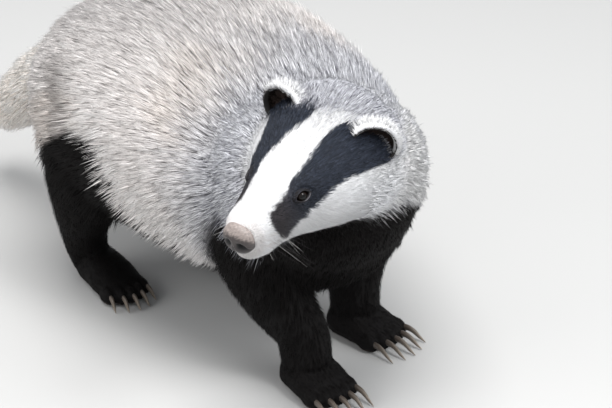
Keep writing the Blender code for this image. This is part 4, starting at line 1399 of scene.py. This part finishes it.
def make_ears():
    rng = np.random.default_rng(51)
    for side, sign in SIDES:
        matrix = ear_frame(sign)
        make_ear_cup(side, matrix)
        # Kind of hair, count, where it grows between the middle (0) and the rim (1), length
        for row in (
            ("rim", 2600, 0.93, 1.0, 0.0064 if sign > 0 else 0.0088),
            ("back", 2400, 0.10, 1.0, 0.0080),
            ("inner", 2600, 0.05, 0.93, 0.0115),
        ):
            make_ear_hair(rng, side, sign, matrix, *row)


def make_claws():
    rings = sides = 12
    t = np.linspace(0, 1, rings)
    tone = mix((0.050, 0.040, 0.034), (0.230, 0.190, 0.150), t**1.5)
    radii = 0.0031 * (1 - 0.42 * t) * (1 - t**4) + 0.00035
    height = 0.0096 + 0.0022 * np.sin(math.pi * np.minimum(t * 1.3, 1)) - 0.0086 * t**1.9
    for foot, (_, matrix, (length, width, claw)) in FEET.items():
        pile = Pile()
        for k in TOES:
            x, y, lean = toe_place(length, width, k)
            centres = np.stack([x + 0.006 + (claw + 0.006) * t, y + lean * t, height], -1)
            points, polygons = closed_tube(centres, radii, sides, squash=0.72)
            points[:, 2] = np.maximum(points[:, 2], 0.0002)
            pile.add(place_of(matrix, points), polygons, np.repeat(tone, sides, axis=0))
        obj = new_object(f"claws_{foot}", pile.verts, pile.faces)
        finished(obj, pile.colours, HORN)
        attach(obj, "root")


LIP_WHISKERS, CHIN_WHISKERS = 12, 4


def make_whiskers():
    rng = np.random.default_rng(71)
    pile = Pile()
    t = np.linspace(0, 1, 9)[:, None]
    droop = np.array([-0.25, 0, -0.35])
    for sign in (1, -1):
        for k in range(LIP_WHISKERS + CHIN_WHISKERS):
            if k < LIP_WHISKERS:
                x = rng.uniform(0.094, 0.114)
                z = rng.uniform(-0.030, -0.017)
                aim = np.array([rng.uniform(-0.65, 0.05), sign * 1.0, rng.uniform(-0.85, -0.25)])
                length = rng.uniform(0.020, 0.040)
            else:
                x, z = rng.uniform(0.098, 0.110), -0.0375
                aim = np.array([-0.1, sign * 0.5, -1.0])
                length = rng.uniform(0.012, 0.020)
            share = np.array([(x - SKULL[0][0]) / (SKULL[-1][0] - SKULL[0][0])])
            wide, above, below = SKULL_FORM.size(share)[0]
            height = z - SKULL_FORM.frame(share)[0][0][2]
            inside = max(1 - (abs(height) / (above if height > 0 else below)) ** 2, 0.02) ** 0.5
            root = np.array([x, sign * wide * inside * 0.92, z])
            centres = root + unit(aim) * length * t + droop * length * 0.45 * t * t
            points, polygons = closed_tube(centres, 0.00013 * (1 - 0.75 * t[:, 0]), 4)
            tone = (0.045, 0.042, 0.042) if k % 3 else (0.50, 0.49, 0.48)
            pile.add(place_of(HEAD, points), polygons, [tone] * len(points))
    obj = finished(new_object("whiskers", pile.verts, pile.faces), pile.colours, WHISKER)
    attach(obj, "root")


def head_field(points):
    """The lie of the face's hair: back from the nose, out on the cheek and down on the jaw."""
    head = place_of(HEAD_BACK, points)
    x, y, z = head.T
    side = np.sign(y) * smoothstep(0.004, 0.03, np.abs(y))
    back = np.stack([-np.ones(len(x)), 0.22 * side, -0.10 - 0.45 * smoothstep(0.0, -0.03, z)], -1)
    for gap, _, _, _, _, away, _ in round_eyes(head):
        back = back + away * (0.9 * bell(gap, 0.010))[:, None]
    return turn_of(HEAD, back)


def bent_width(length):
    """Half width of a bent tuft by its length."""
    widths = (0.20, 0.27, 0.36, 0.46, 0.56)
    return np.interp(length, (0.002, 0.006, 0.012, 0.022, 0.045), widths) / 1000


def straight_width(length):
    """Half width at the root of a straight tuft by its length."""
    return np.interp(length, (0.002, 0.006, 0.010, 0.020), (0.26, 0.36, 0.50, 0.60)) / 1000


def dress(hide):
    """Long coat on body and tail, short coat on the face and feet."""
    open_skin = ~hide.bare()
    head_x = place_of(HEAD_BACK, hide.centres)[:, 0]
    height = hide.centres[:, 2]
    body, head, tail, legs = hide.weight[hide.corners[:, 0]].T
    face = smoothstep(-0.02, 0.03, head_x) * head
    under = smoothstep(0.100, 0.085, height) * body
    long_part = (body + tail + head * (1 - face)) * (1 - 0.6 * under) * open_skin
    long_part = long_part * (1 + 0.6 * hide.loose[hide.corners[:, 0]])
    long = {"material": HAIR, "density": long_part, "clump": (0.0100, 0.0042, 0.0042)}
    hide.grow("coat_body", count=32000, width=bent_width, seed=101, bent=True, **long)
    hide.grow(
        "coat_top", count=162000, width=straight_width, seed=104, scale=0.36, rise=0.50, **long
    )
    finer = 1 + 2.2 * smoothstep(0.05, 0.10, head_x)
    short_part = head * smoothstep(-0.03, 0.0, head_x) * finer * open_skin
    hide.grow("coat_face", FACE_HAIR, short_part, 54000, straight_width, 102)
    low_part = legs * (1 + 0.8 * smoothstep(0.06, 0.03, height)) * open_skin
    clump = (0.0055, 0.0055, 0.0075)
    hide.grow("coat_legs", HAIR, low_part, 26000, straight_width, 103, clump=clump)


def make_all():
    skin = make_skin()
    hide = Hide(skin)
    skin.data.materials.clear()
    skin.data.shade_smooth()
    finished(skin, skin_colours(hide.points, hide.weight), SKIN)
    dress(hide)
    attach(skin, "root")
    flesh = ["torso", "neck", "head", "tail"]
    for foot in FEET:
        flesh += [f"leg_{foot}", f"paw_{foot}"]
    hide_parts(*flesh)
    make_eyes()
    make_nose()
    make_ears()
    make_claws()
    make_whiskers()
    for obj in COAT_PIECES:
        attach(obj, "root")


make_all()


# Camera, light and floor


CAMERA_TARGET = Vector((0.14, -0.032, 0.18)) + SHIFT
CAMERA_TURN, CAMERA_RISE, CAMERA_AWAY = math.radians(47), math.radians(28), 2.20
FOCAL_PIXELS, PHOTO_WIDTH, SENSOR = 2420, 612, 36.0
back = Vector(
    (
        math.sin(CAMERA_TURN) * math.cos(CAMERA_RISE),
        -math.cos(CAMERA_TURN) * math.cos(CAMERA_RISE),
        math.sin(CAMERA_RISE),
    )
)
camera_data = bpy.data.cameras.new("camera")
camera = link("camera", camera_data)
camera.location = CAMERA_TARGET + back * CAMERA_AWAY
camera.rotation_euler = (-back).to_track_quat("-Z", "Y").to_euler()
camera_data.sensor_width = SENSOR
camera_data.lens = FOCAL_PIXELS / PHOTO_WIDTH * SENSOR
camera_data.clip_start = 0.05
bpy.context.scene.camera = camera


def area_light(name, place, size, power, colour, glossy=True):
    data = bpy.data.lights.new(name, "AREA")
    data.shape = "SQUARE"
    data.size = size
    data.energy = power
    data.color = colour
    obj = link(name, data)
    obj.location = place
    aim = Vector((0.05, 0, 0.1)) - Vector(place)
    obj.rotation_euler = aim.to_track_quat("-Z", "Y").to_euler()
    obj.visible_glossy = glossy


# Only the key light and the small catch light show in the eyes
WARM, COOL, WHITE_LIGHT = (1.0, 0.99, 0.98), (0.97, 0.985, 1.0), (1.0, 1.0, 1.0)
area_light("key", (0.3, -0.2, 2.4), 1.3, 58, WARM)
area_light("side", (2.0, 0.7, 1.3), 1.4, 17, COOL, glossy=False)
area_light("fill", (-0.9, -2.1, 1.0), 1.6, 28, WARM, glossy=False)
area_light("rear", (-2.1, -0.7, 1.1), 1.2, 5, WARM, glossy=False)
area_light("catch", (1.50, 0.03, 1.67), 0.45, 15, WHITE_LIGHT)

world = bpy.data.worlds.new("studio")
bpy.context.scene.world = world
world.use_nodes = True
sky = world.node_tree.nodes["Background"]
sky.inputs["Color"].default_value = (0.90, 0.92, 0.95, 1)
sky.inputs["Strength"].default_value = 0.70

corners = [(-6, -6, 0), (6, -6, 0), (6, 6, 0), (-6, 6, 0)]
floor = new_object("floor", corners, [(0, 1, 2, 3)], smooth=False)
floor_material = principled("floor_pale", Roughness=0.9, Base_Color=(0.46, 0.46, 0.455, 1))
floor.data.materials.append(floor_material)

bpy.context.scene.view_settings.view_transform = "Standard"
